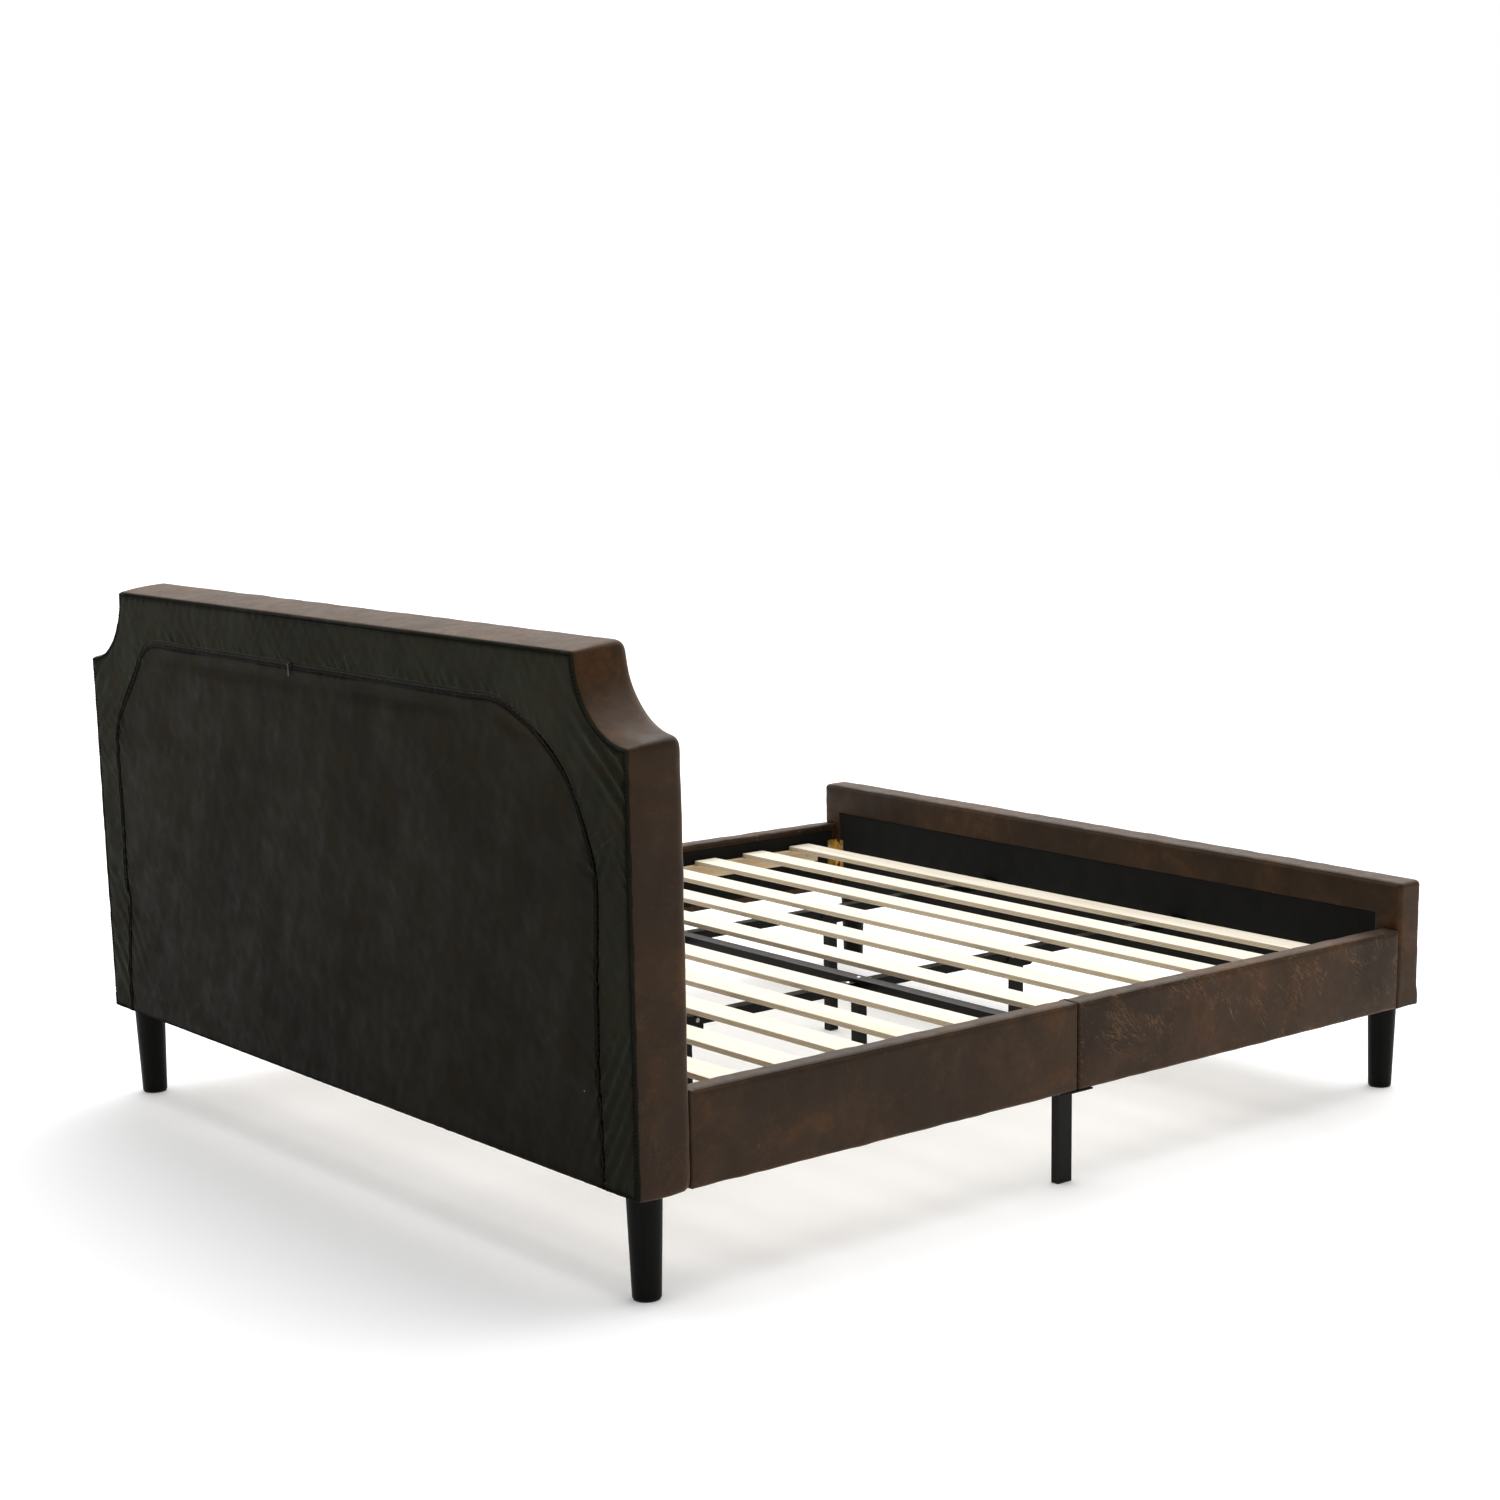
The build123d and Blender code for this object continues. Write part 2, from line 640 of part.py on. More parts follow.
def build_brackets():
    """Corner angles, long bar ends, splice plates at the rail joint, and every small screw."""
    corner_angles = []
    bar_ends = []
    splices = []
    holes = screw_holes(all_screws)
    z0 = slat_top - corner_bracket_height
    for sign in sides.values():
        wall = sign * inner_x
        bar = sign * bar_offset
        half = bar_bracket_width / 2
        for face_y, into_bed in ((footboard_y, 1), (board_y, -1)):
            arm_y = face_y + into_bed * corner_bracket_arm
            plate_y = face_y + into_bed * plate
            along_rail = block(wall - sign * plate, wall, face_y, arm_y, z0, slat_top)
            along_board = block(wall - sign * corner_bracket_arm, wall, face_y, plate_y, z0, slat_top)
            corner_angles.append(along_rail + along_board - holes)
            upright = block(bar - half, bar + half, face_y, plate_y, bar_bottom - bar_bracket_drop, bar_top)
            shelf_y = face_y + into_bed * hanger_reach
            shelf_x = bar_width / 2
            shelf = block(bar - shelf_x, bar + shelf_x, face_y, shelf_y, bar_bottom - plate, bar_bottom)
            bar_ends.append(upright + shelf - holes)
        splices.append(splice_plate(sign) - holes)
    save("corner_brackets", *corner_angles)
    save("long_bar_end_brackets", *bar_ends)
    save("rail_splice_plates", *splices)
    save("bracket_screws", *[screw(*one) for one in all_screws])


def splice_plate(sign):
    """A plate across the joint of two rail halves, with a shelf that carries the crossbar's end."""
    x_wall = sign * inner_x
    x_plate = sign * (inner_x - plate)
    half = splice_width / 2
    wide = block(x_plate, x_wall, split_y - half, split_y + half, splice_bottom, splice_top)
    half = hanger_width / 2
    tongue = block(x_plate, x_wall, split_y - half, split_y + half, splice_top, crossbar_bottom)
    shelf = block(
        sign * (inner_x - hanger_reach), x_wall,
        split_y - crossbar_width / 2, split_y + crossbar_width / 2,
        crossbar_bottom - plate, crossbar_bottom,
    )
    return wide + tongue + shelf


def build_corner_legs(glides):
    """Four round tapered legs, each on a bolt that screws into a flanged nut in the frame."""
    bolts = []
    nuts = []
    for name, (x, y) in corner_legs.items():
        taper_height = panel_bottom - glide_height
        leg = Pos(x, y, glide_height) * Solid.make_cone(leg_bottom_radius, leg_top_radius, taper_height)
        bolt_bottom = panel_bottom - bolt_in_leg
        save(f"corner_leg_{name}", leg - rod(bolt_radius, (x, y, bolt_bottom), (x, y, panel_bottom)))
        board = frame_board if name.startswith("head") else footboard_frame_board
        nut_bottom = panel_bottom + cover_thickness
        nut_top = nut_bottom + board
        bolt_top = nut_top + nut_flange + bolt_end
        bolts.append(rod(bolt_radius, (x, y, bolt_bottom), (x, y, bolt_top)))
        nut = rod(nut_radius, (x, y, nut_bottom), (x, y, nut_top))
        nut += rod(nut_flange_radius, (x, y, nut_top), (x, y, nut_top + nut_flange))
        nuts.append(nut - rod(bolt_radius, (x, y, nut_bottom), (x, y, bolt_top)))
        glides.append(rod(leg_bottom_radius - glide_inset, (x, y, 0), (x, y, glide_height)))
    save("leg_bolts", *bolts)
    save("leg_nuts", *nuts)
    save("leg_glides", *glides)


os.makedirs("parts", exist_ok=True)
build_headboard()
build_footboard()
build_rails()
build_slats()
build_corner_legs(build_steel())
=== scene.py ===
import math
import bmesh
import bpy
import numpy as np
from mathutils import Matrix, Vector
from mathutils.geometry import delaunay_2d_cdt


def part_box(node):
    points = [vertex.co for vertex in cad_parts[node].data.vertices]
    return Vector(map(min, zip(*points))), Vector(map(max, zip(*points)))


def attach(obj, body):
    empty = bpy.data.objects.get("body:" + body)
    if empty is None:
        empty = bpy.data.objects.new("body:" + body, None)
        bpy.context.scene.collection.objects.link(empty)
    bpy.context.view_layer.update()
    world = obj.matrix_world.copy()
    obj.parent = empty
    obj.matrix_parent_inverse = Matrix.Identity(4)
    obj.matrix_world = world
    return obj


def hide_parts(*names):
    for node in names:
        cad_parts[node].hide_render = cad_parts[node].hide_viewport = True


# Looks of an upholstered king-size bed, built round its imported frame.
# Metres, +Y towards the headboard, +Z up.
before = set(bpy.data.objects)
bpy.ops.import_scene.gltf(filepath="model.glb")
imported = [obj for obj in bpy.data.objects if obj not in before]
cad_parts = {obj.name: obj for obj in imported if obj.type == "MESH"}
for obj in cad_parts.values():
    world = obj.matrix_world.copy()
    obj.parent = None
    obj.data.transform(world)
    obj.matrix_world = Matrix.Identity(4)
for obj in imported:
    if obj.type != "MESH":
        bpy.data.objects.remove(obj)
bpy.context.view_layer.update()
scene = bpy.context.scene


# ---- camera, floor and light

cameraSet = {
    "place": (-4.781, 3.762, 1.665),
    "tiltDown": 0.2058,            # radians below level
    "turn": math.pi + 0.8175,      # heading about Z
    "lens": 63.43,
    "shift": (-0.160, 0.116),
}
lightSet = {
    "worldSeen": 1.0,              # what the camera sees behind the floor
    "worldGiven": (0.05, 1.15),    # what the object receives: from the camera's side, and from above
    "brightWay": (0.50, -0.38, 0.78),
    "brightSpan": (-0.25, 0.95),   # how far round that way the light grows from the first to the second
    "sun": 2.3,
    "sunAngle": 75,                # degrees across, so its shadows are soft
    "sunTilt": (26, 16),           # degrees off the vertical, about X and Y
    "floorGlow": 0.13,             # lifts the shadows on the floor
    "gamma": 0.88,
    "floorColour": (0.94, 0.94, 0.945),
    "floorSize": 60.0,
}


def makeCamera():
    camera = bpy.data.objects.new("camera", bpy.data.cameras.new("camera"))
    scene.collection.objects.link(camera)
    camera.location = cameraSet["place"]
    camera.rotation_euler = (math.pi / 2 - cameraSet["tiltDown"], 0, cameraSet["turn"])
    camera.data.lens = cameraSet["lens"]
    camera.data.shift_x, camera.data.shift_y = cameraSet["shift"]
    camera.data.clip_end = 200
    scene.camera = camera


def makeWorld():
    world = bpy.data.worlds.new("studio")
    scene.world = world
    world.use_nodes = True
    world.node_tree.nodes.clear()
    way = world.node_tree.nodes.new("ShaderNodeTexCoord").outputs["Generated"]
    toward = addNode(way, "ShaderNodeVectorMath", {0: way, 1: lightSet["brightWay"]}, operation="DOT_PRODUCT")
    strength = span(toward.outputs["Value"], *lightSet["brightSpan"], *lightSet["worldGiven"])
    given = addNode(way, "ShaderNodeBackground", {"Color": (1, 1, 1), "Strength": strength})
    seen = addNode(way, "ShaderNodeBackground", {"Color": (1, 1, 1), "Strength": lightSet["worldSeen"]})
    bySight = addNode(way, "ShaderNodeLightPath", {}).outputs["Is Camera Ray"]
    choose = addNode(way, "ShaderNodeMixShader", {0: bySight, 1: given.outputs[0], 2: seen.outputs[0]})
    addNode(way, "ShaderNodeOutputWorld", {0: choose.outputs[0]})
    scene.view_settings.view_transform = "Standard"
    scene.view_settings.gamma = lightSet["gamma"]


def makeLights():
    sun = bpy.data.objects.new("softSun", bpy.data.lights.new("softSun", "SUN"))
    sun.data.energy = lightSet["sun"]
    sun.data.angle = math.radians(lightSet["sunAngle"])
    tiltX, tiltY = lightSet["sunTilt"]
    sun.rotation_euler = (math.radians(tiltX), math.radians(tiltY), 0)
    scene.collection.objects.link(sun)


# ---- nodes for the finishes

def newFinish(name):
    finish = bpy.data.materials.new(name)
    finish.use_nodes = True
    tree = finish.node_tree
    tree.nodes.clear()
    shader = tree.nodes.new("ShaderNodeBsdfPrincipled")
    tree.links.new(shader.outputs[0], tree.nodes.new("ShaderNodeOutputMaterial").inputs[0])
    return finish, shader, tree.nodes.new("ShaderNodeTexCoord").outputs["Object"]


def feed(socket, value):
    # a number, a colour, or another node's output
    if isinstance(value, bpy.types.NodeSocket):
        socket.id_data.links.new(value, socket)
    elif socket.type == "RGBA" and len(value) == 3:
        socket.default_value = (*value, 1)
    else:
        socket.default_value = value


def addNode(near, kind, inputs, **settings):
    # a node in the same tree as the socket near
    node = near.id_data.nodes.new(kind)
    for name, value in settings.items():
        setattr(node, name, value)
    for name, value in inputs.items():
        feed(node.inputs[name], value)
    return node


def setShader(shader, colour, rough, normal, fixed):
    feed(shader.inputs["Base Color"], colour)
    feed(shader.inputs["Roughness"], rough)
    if normal is not None:
        feed(shader.inputs["Normal"], normal)
    for name, value in fixed.items():
        shader.inputs[name].default_value = value


def stretch(place, scale, turn=None):
    # turned first, then scaled along the turned axes
    if turn:
        place = addNode(place, "ShaderNodeMapping", {"Vector": place, "Rotation": turn}).outputs[0]
    return addNode(place, "ShaderNodeMapping", {"Vector": place, "Scale": scale}).outputs[0]


def cloud(place, scale, detail=4, rough=0.55, warp=0.0):
    inputs = {"Vector": place, "Scale": scale, "Detail": detail, "Roughness": rough, "Distortion": warp}
    return addNode(place, "ShaderNodeTexNoise", inputs).outputs["Fac"]


def cells(place, scale, kind="F1", chance=1.0):
    inputs = {"Vector": place, "Scale": scale, "Randomness": chance}
    return addNode(place, "ShaderNodeTexVoronoi", inputs, feature=kind)


def span(value, low, high, toLow=0.0, toHigh=1.0):
    inputs = {"Value": value, "From Min": low, "From Max": high, "To Min": toLow, "To Max": toHigh}
    return addNode(value, "ShaderNodeMapRange", inputs, interpolation_type="SMOOTHSTEP").outputs[0]


def blendColour(share, first, second):
    return addNode(share, "ShaderNodeMix", {0: share, 6: first, 7: second}, data_type="RGBA").outputs[2]


def sums(kind, first, second=0.0):
    return addNode(first, "ShaderNodeMath", {0: first, 1: second}, operation=kind).outputs[0]


def relief(height, depth, strength, under=None):
    inputs = {"Height": height, "Distance": depth, "Strength": strength}
    if under is not None:
        inputs["Normal"] = under
    return addNode(height, "ShaderNodeBump", inputs).outputs[0]


def axisOf(place, axis):
    return addNode(place, "ShaderNodeSeparateXYZ", {0: place}).outputs[axis]


def tinted(colour, *times):
    # a colour made lighter or darker, by one number or one for each of red, green and blue
    return tuple(v * k for v, k in zip(colour, times * (3 // len(times))))


# Distressed brown faux leather: pebble grain, rubbed rusty patches, and pale creases where it was folded.
leatherSet = {
    "dark": (0.033, 0.0168, 0.0062),
    "brown": (0.072, 0.0352, 0.0112),
    "rust": (0.140, 0.053, 0.0130),
    "rubbed": (0.108, 0.062, 0.026),
    "crease": (0.34, 0.185, 0.080),
    "grain": 620,
    "seedStep": (3.1, 1.7, 2.3),   # each finish takes its own part of the same clouds
    "fixed": {"Specular IOR Level": 0.26, "Sheen Weight": 0.30, "Sheen Roughness": 0.35,
              "Sheen Tint": (1.0, 0.80, 0.62, 1)},
}


def leatherFinish(name, creased, seed):
    finish, shader, place = newFinish(name)
    shift = tuple(seed * step for step in leatherSet["seedStep"])
    moved = addNode(place, "ShaderNodeMapping", {"Vector": place, "Location": shift}).outputs[0]
    broad = cloud(moved, 3.2, 5, 0.6, 0.4)
    patches = cloud(moved, 9.0, 8, 0.68, 0.9)
    fine = cloud(moved, 70, 6, 0.7)
    colour = blendColour(span(broad, 0.36, 0.66), leatherSet["dark"], leatherSet["brown"])
    rusty = sums("MULTIPLY", span(patches, 0.47, 0.62), span(broad, 0.40, 0.62))
    colour = blendColour(sums("MULTIPLY", rusty, 0.55), colour, leatherSet["rust"])
    rubbed = cloud(moved, 26, 8, 0.75, 0.5)
    colour = blendColour(span(rubbed, 0.50, 0.80, 0, 0.55), colour, leatherSet["rubbed"])
    colour = blendColour(span(fine, 0.35, 0.65, 0.0, 0.30), colour, leatherSet["dark"])
    pebbles = cells(moved, leatherSet["grain"])
    grain = pebbles.outputs["Distance"]
    colour = blendColour(span(grain, 0.25, 0.75, 0, 0.35), colour, leatherSet["dark"])
    folds = None
    for turn, across, along, low in creased:
        # long thin lines: a cloud stretched along the fold, kept where it crosses its middle value
        lines = stretch(moved, (across, across, along), (turn, 0, 0))
        wave = cloud(lines, 1.0, 4, 0.6, 0.7)
        thin = span(sums("ABSOLUTE", sums("SUBTRACT", wave, 0.5)), 0.002, 0.020, 1, 0)
        where = span(cloud(moved, 6.0 + across * 0.04, 3, 0.6, 0.8), low, low + 0.12)
        one = sums("MULTIPLY", thin, where)
        folds = one if folds is None else sums("MAXIMUM", folds, one)
    # a faint net of crackle lines all over
    netPlace = stretch(moved, (95, 95, 60), (0.7, 0.2, 0))
    bent = cells(netPlace, 1.0, "DISTANCE_TO_EDGE").outputs["Distance"]
    net = sums("MULTIPLY", span(bent, 0.0, 0.07, 1, 0), span(patches, 0.42, 0.66, 0.0, 0.28))
    colour = blendColour(net, colour, leatherSet["rubbed"])
    height = sums("MULTIPLY", grain, -0.35)
    height = sums("ADD", height, sums("MULTIPLY", fine, 0.5))
    normal = relief(height, 0.0005, 0.55)
    if folds is not None:
        colour = blendColour(sums("MULTIPLY", folds, 0.55), colour, leatherSet["crease"])
        normal = relief(folds, 0.0005, 0.7, normal)
    setShader(shader, colour, span(rubbed, 0.3, 0.75, 0.44, 0.62), normal, leatherSet["fixed"])
    return finish


# Coated cloth and leather of the headboard's back, with specks of lint and faint scuffs.
clothSet = {
    "warmer": (1.45, 1.05, 0.80),
    "scuff": 3.4,                  # times as light as the cloth
    "lint": (0.55, 0.54, 0.48),
    "lowShade": 0.45,              # the lower part lies in shade
    "sewnShade": (0.0008, 0.0007, 0.0005),
}


def backFinish(name, dark, light, weave, lint, roughLow, roughHigh):
    finish, shader, place = newFinish(name)
    broad = cloud(place, 2.3, 4, 0.6, 0.6)
    mottled = cloud(place, 15, 8, 0.72, 0.4)
    colour = blendColour(span(broad, 0.33, 0.68), dark, light)
    warm = tinted(light, *clothSet["warmer"])
    colour = blendColour(span(mottled, 0.46, 0.68, 0, 0.55), colour, warm)
    scuffs = stretch(place, (7, 7, 75), (0, -0.55, 0))
    scuff = span(cloud(scuffs, 1.0, 6, 0.7, 0.8), 0.62, 0.74, 0, 0.30)
    colour = blendColour(scuff, colour, tinted(light, clothSet["scuff"]))
    if lint:
        speck = cells(place, 17)
        dot = span(speck.outputs["Distance"], 0.026, 0.038, 1, 0)
        chance = span(axisOf(speck.outputs["Color"], 0), lint, lint + 0.01)
        colour = blendColour(sums("MULTIPLY", dot, chance), colour, clothSet["lint"])
    low = span(axisOf(place, 2), 0.2, 1.05, clothSet["lowShade"], 0.0)
    colour = blendColour(low, colour, tinted(dark, 0.45))
    sewn = addNode(place, "ShaderNodeAttribute", {}, attribute_name="sewnShade").outputs["Fac"]
    colour = blendColour(sums("MULTIPLY", sewn, 0.85), colour, clothSet["sewnShade"])
    threads = cells(place, weave, "F1", 0.35).outputs["Distance"]
    height = sums("ADD", sums("MULTIPLY", threads, -0.4), sums("MULTIPLY", mottled, 0.25))
    rough = span(mottled, 0.35, 0.7, roughLow, roughHigh)
    setShader(shader, colour, rough, relief(height, 0.0006, 0.5), {"Specular IOR Level": 0.06})
    return finish


def feltFinish(name, dark, light):
    # needled black cloth under the bed and inside the footboard
    finish, shader, place = newFinish(name)
    fibres = cloud(stretch(place, (500, 500, 160), (0.4, 0.2, 0.9)), 1.0, 4, 0.7, 0.6)
    broad = cloud(place, 6, 4, 0.6)
    colour = blendColour(fibres, dark, light)
    colour = blendColour(span(broad, 0.3, 0.7, 0, 0.4), colour, dark)
    setShader(shader, colour, 0.92, relief(fibres, 0.0004, 0.6),
              {"Specular IOR Level": 0.2, "Sheen Weight": 0.12, "Sheen Roughness": 0.5})
    return finish


birchSet = {
    "face": ((0.79, 0.72, 0.585), (0.86, 0.81, 0.70)),
    "plies": ((0.62, 0.50, 0.34), (0.86, 0.77, 0.60)),
    "figure": (0.70, 0.58, 0.41),
    "count": 7,
}


def slatFinish(bottom, top):
    # laminated birch: pale face veneer with fine grain along X, darker plies on the edges
    finish, shader, place = newFinish("slatBirch")
    grain = cloud(stretch(place, (3.2, 95, 95)), 1.0, 8, 0.62, 0.25)
    figure = cloud(stretch(place, (1.1, 22, 22)), 1.0, 4, 0.5, 0.9)
    face = blendColour(span(grain, 0.35, 0.68), *birchSet["face"])
    face = blendColour(span(figure, 0.52, 0.78, 0, 0.42), face, birchSet["figure"])
    height = sums("SUBTRACT", axisOf(place, 2), bottom)
    ply = sums("PINGPONG", sums("DIVIDE", height, (top - bottom) / birchSet["count"]), 1.0)
    edge = blendColour(span(ply, 0.35, 0.65), *birchSet["plies"])
    edge = blendColour(span(grain, 0.4, 0.7, 0, 0.5), edge, birchSet["figure"])
    faces = addNode(place, "ShaderNodeNewGeometry", {}).outputs["True Normal"]
    up = span(sums("ABSOLUTE", axisOf(faces, 2)), 0.55, 0.8)
    rough = span(grain, 0.3, 0.7, 0.50, 0.66)
    setShader(shader, blendColour(up, edge, face), rough, relief(grain, 0.00035, 0.5),
              {"Specular IOR Level": 0.3})
    return finish


def timberFinish(name, pale, dark, along, rings=18):
    # sawn softwood or plywood: growth lines stretched along one axis
    finish, shader, place = newFinish(name)
    fineScale, ringScale = ([2.4 if a == along else 60 for a in range(3)],
                            [0.8 if a == along else rings for a in range(3)])
    grain = cloud(stretch(place, fineScale), 1.0, 7, 0.6, 0.5)
    growth = cloud(stretch(place, ringScale), 1.0, 3, 0.5, 1.4)
    colour = blendColour(span(grain, 0.35, 0.68), dark, pale)
    colour = blendColour(span(growth, 0.5, 0.7, 0, 0.5), colour, dark)
    rough = span(grain, 0.3, 0.7, 0.6, 0.78)
    setShader(shader, colour, rough, relief(grain, 0.0005, 0.6), {"Specular IOR Level": 0.25})
    return finish


def metalFinish(name, colour, shade, metallic, rough, bumps=420, tint=None, shine=0.5):
    # painted, plated or plain steel with fine unevenness and a few rubbed marks
    finish, shader, place = newFinish(name)
    skin = cloud(place, bumps, 3, 0.5)
    marks = cloud(place, 34, 8, 0.75, 0.5)
    mixed = blendColour(span(marks, 0.42, 0.72), colour, shade)
    if tint:
        sheen = cloud(place, 90, 3, 0.5, 1.2)
        mixed = blendColour(span(sheen, 0.45, 0.65, 0, 0.7), mixed, tint)
    setShader(shader, mixed, span(marks, 0.3, 0.75, rough - 0.06, rough + 0.14), relief(skin, 0.00025, 0.45),
              {"Metallic": metallic, "Specular IOR Level": shine})
    return finish


def lacquerFinish(name):
    # black lacquer over turned wood, whose grain shows faintly along the leg
    finish, shader, place = newFinish(name)
    grain = cloud(stretch(place, (130, 130, 5)), 1.0, 6, 0.6, 0.4)
    colour = blendColour(span(grain, 0.35, 0.7), (0.0035, 0.0033, 0.0030), (0.0085, 0.0078, 0.0065))
    rough = span(grain, 0.3, 0.7, 0.36, 0.50)
    setShader(shader, colour, rough, relief(grain, 0.0004, 0.45), {"Specular IOR Level": 0.12})
    return finish


def plasticFinish(name, colour, rough):
    finish, shader, place = newFinish(name)
    skin = cloud(place, 900, 2, 0.5)
    broad = cloud(place, 60, 3, 0.6)
    setShader(shader, blendColour(broad, colour, tinted(colour, 1.9)),
              span(broad, 0.3, 0.7, rough, rough + 0.12), relief(skin, 0.00015, 0.4), {})
    return finish


# ---- making meshes

def makePiece(name, points, faces, finish, slotName, body="bed_frame"):
    mesh = bpy.data.meshes.new(name)
    mesh.from_pydata([tuple(float(v) for v in p) for p in points], [], [tuple(f) for f in faces])
    mesh.polygons.foreach_set("use_smooth", [True] * len(mesh.polygons))
    mesh.update()
    piece = bpy.data.objects.new(name, mesh)
    scene.collection.objects.link(piece)
    mesh.materials.append(finish)
    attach(piece, body)
    return piece


def waves(points, length, seed, count=12, spread=0.5):
    # smooth random unevenness of about this wavelength, from -1 to 1 or so
    chance = np.random.default_rng(seed)
    ways = chance.normal(size=(count, points.shape[1]))
    ways /= np.linalg.norm(ways, axis=1)[:, None]
    sizes = length * chance.uniform(1 - spread, 1 + spread, count)
    starts = chance.uniform(0, 2 * math.pi, count)
    return np.sin(points @ (ways / sizes[:, None]).T * 2 * math.pi + starts).sum(1) / math.sqrt(count)


def bell(value, middle, width):
    return np.exp(-(((value - middle) / width) ** 2))


def ramp(value, low, high):
    share = np.clip((value - low) / (high - low), 0, 1)
    return share * share * (3 - 2 * share)


def gridLine(low, high, step, edge, marks=()):
    # positions along one side of a box, closer together near both ends and near the marks
    count = max(2, round((high - low - 2 * edge) / step))
    line = set(np.round(np.linspace(low + edge, high - edge, count + 1), 6))
    for share in (0, 0.12, 0.3, 0.52, 0.76):
        line.add(round(low + edge * share, 6))
        line.add(round(high - edge * share, 6))
    for mark in marks:
        line = {v for v in line if abs(v - mark) > 0.0035}
        line |= {round(mark + shift, 6) for shift in (-0.0022, -0.0008, 0.0008, 0.0022)}
    return np.array(sorted(line))


def boxSkin(xs, ys, zs):
    # the six sides of a box as one closed grid of four-sided faces
    counts = (len(xs), len(ys), len(zs))
    lines = (xs, ys, zs)
    number, points, faces = {}, [], []

    def at(cell):
        if cell not in number:
            number[cell] = len(points)
            points.append([lines[a][cell[a]] for a in range(3)])
        return number[cell]

    for axis in range(3):
        u, v = (axis + 1) % 3, (axis + 2) % 3
        for end in (0, counts[axis] - 1):
            for i in range(counts[u] - 1):
                for j in range(counts[v] - 1):
                    corners = []
                    for di, dj in ((0, 0), (1, 0), (1, 1), (0, 1)):
                        cell = [0, 0, 0]
                        cell[axis], cell[u], cell[v] = end, i + di, j + dj
                        corners.append(at(tuple(cell)))
                    faces.append(corners if end else corners[::-1])
    return np.array(points), faces


def roundOff(points, low, high, radius):
    # the corners and edges of a box drawn in to this radius; radius may differ from point to point
    radius = np.broadcast_to(np.asarray(radius, float), (len(points),))[:, None]
    inner = np.clip(points, low + radius, high - radius)
    away = points - inner
    far = np.linalg.norm(away, axis=1)[:, None]
    normal = away / np.maximum(far, 1e-9)
    return inner + normal * radius, normal


def ringFaces(first, second, count):
    # joins two rings of points
    return [(first + i, first + (i + 1) % count, second + (i + 1) % count, second + i) for i in range(count)]


def tubeFaces(rings, sides, base=0):
    # rings of points joined one to the next, and both ends filled
    faces = []
    for ring in range(rings - 1):
        faces += ringFaces(base + ring * sides, base + (ring + 1) * sides, sides)
    faces.append(tuple(base + k for k in range(sides))[::-1])
    faces.append(tuple(base + (rings - 1) * sides + k for k in range(sides)))
    return faces


def gridFaces(rows, columns, base=0):
    corners = [base + i * columns + j for i in range(rows - 1) for j in range(columns - 1)]
    return [(a, a + columns, a + columns + 1, a + 1) for a in corners]


def boxOf(node):
    return (np.array(corner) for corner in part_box(node))


def closed(loop):
    return np.concatenate([loop, loop[:1]])


def lengthAlong(path):
    return np.concatenate([[0], np.cumsum(np.linalg.norm(np.diff(path, axis=0), axis=1))])


def inside(points, loop):
    # which points lie inside a closed loop
    result = np.zeros(len(points), bool)
    ends = np.roll(loop, -1, axis=0)
    for (x0, z0), (x1, z1) in zip(loop, ends):
        if z0 != z1:
            crosses = (z0 > points[:, 1]) != (z1 > points[:, 1])
            result ^= crosses & (points[:, 0] < (x1 - x0) * (points[:, 1] - z0) / (z1 - z0) + x0)
    return result


def offPath(points, path):
    # for each point: distance to the path, length along the path, and side of it (+1 on its left)
    start, step = path[:-1], np.diff(path, axis=0)
    size = np.linalg.norm(step, axis=1)
    before = np.concatenate([[0], np.cumsum(size)])[:-1]
    distance, along, side = (np.zeros(len(points)) for _ in range(3))
    for low in range(0, len(points), 3000):
        part = points[low:low + 3000]
        rel = part[:, None] - start[None]
        share = np.clip((rel * step).sum(2) / (size**2), 0, 1)
        gap = rel - share[..., None] * step
        far = np.linalg.norm(gap, axis=2)
        best = far.argmin(1)
        row = np.arange(len(part))
        distance[low:low + 3000] = far[row, best]
        along[low:low + 3000] = before[best] + share[row, best] * size[best]
        cross = step[best, 0] * rel[row, best, 1] - step[best, 1] * rel[row, best, 0]
        side[low:low + 3000] = np.where(cross >= 0, 1, -1)
    return distance, along, side


def fillLoop(loop, extra):
    # triangles that fill a closed loop and pass through the extra points
    flat = [Vector((float(x), float(z))) for x, z in [*loop, *extra]]
    edges = [(i, (i + 1) % len(loop)) for i in range(len(loop))]
    points, _, faces, origin, _, _ = delaunay_2d_cdt(flat, edges, [], 1, 1e-7)
    return np.array([tuple(p) for p in points]), faces, origin


def gridInside(loop, spacing, seed):
    low, high = loop.min(0), loop.max(0)
    xs = np.arange(low[0] + spacing / 2, high[0], spacing)
    zs = np.arange(low[1] + spacing / 2, high[1], spacing)
    points = np.array([(x + (spacing / 2 if row % 2 else 0), z) for row, z in enumerate(zs) for x in xs])
    points += np.random.default_rng(seed).uniform(-0.18, 0.18, points.shape) * spacing
    return points[inside(points, loop)]


# ---- the headboard's outline

coverLow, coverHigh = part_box("headboard_cover")
halfWidth, boardBottom, boardTop = coverHigh.x, coverLow.z, coverHigh.z
boardFront, boardBack = coverLow.y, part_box("headboard_back_border")[1].y

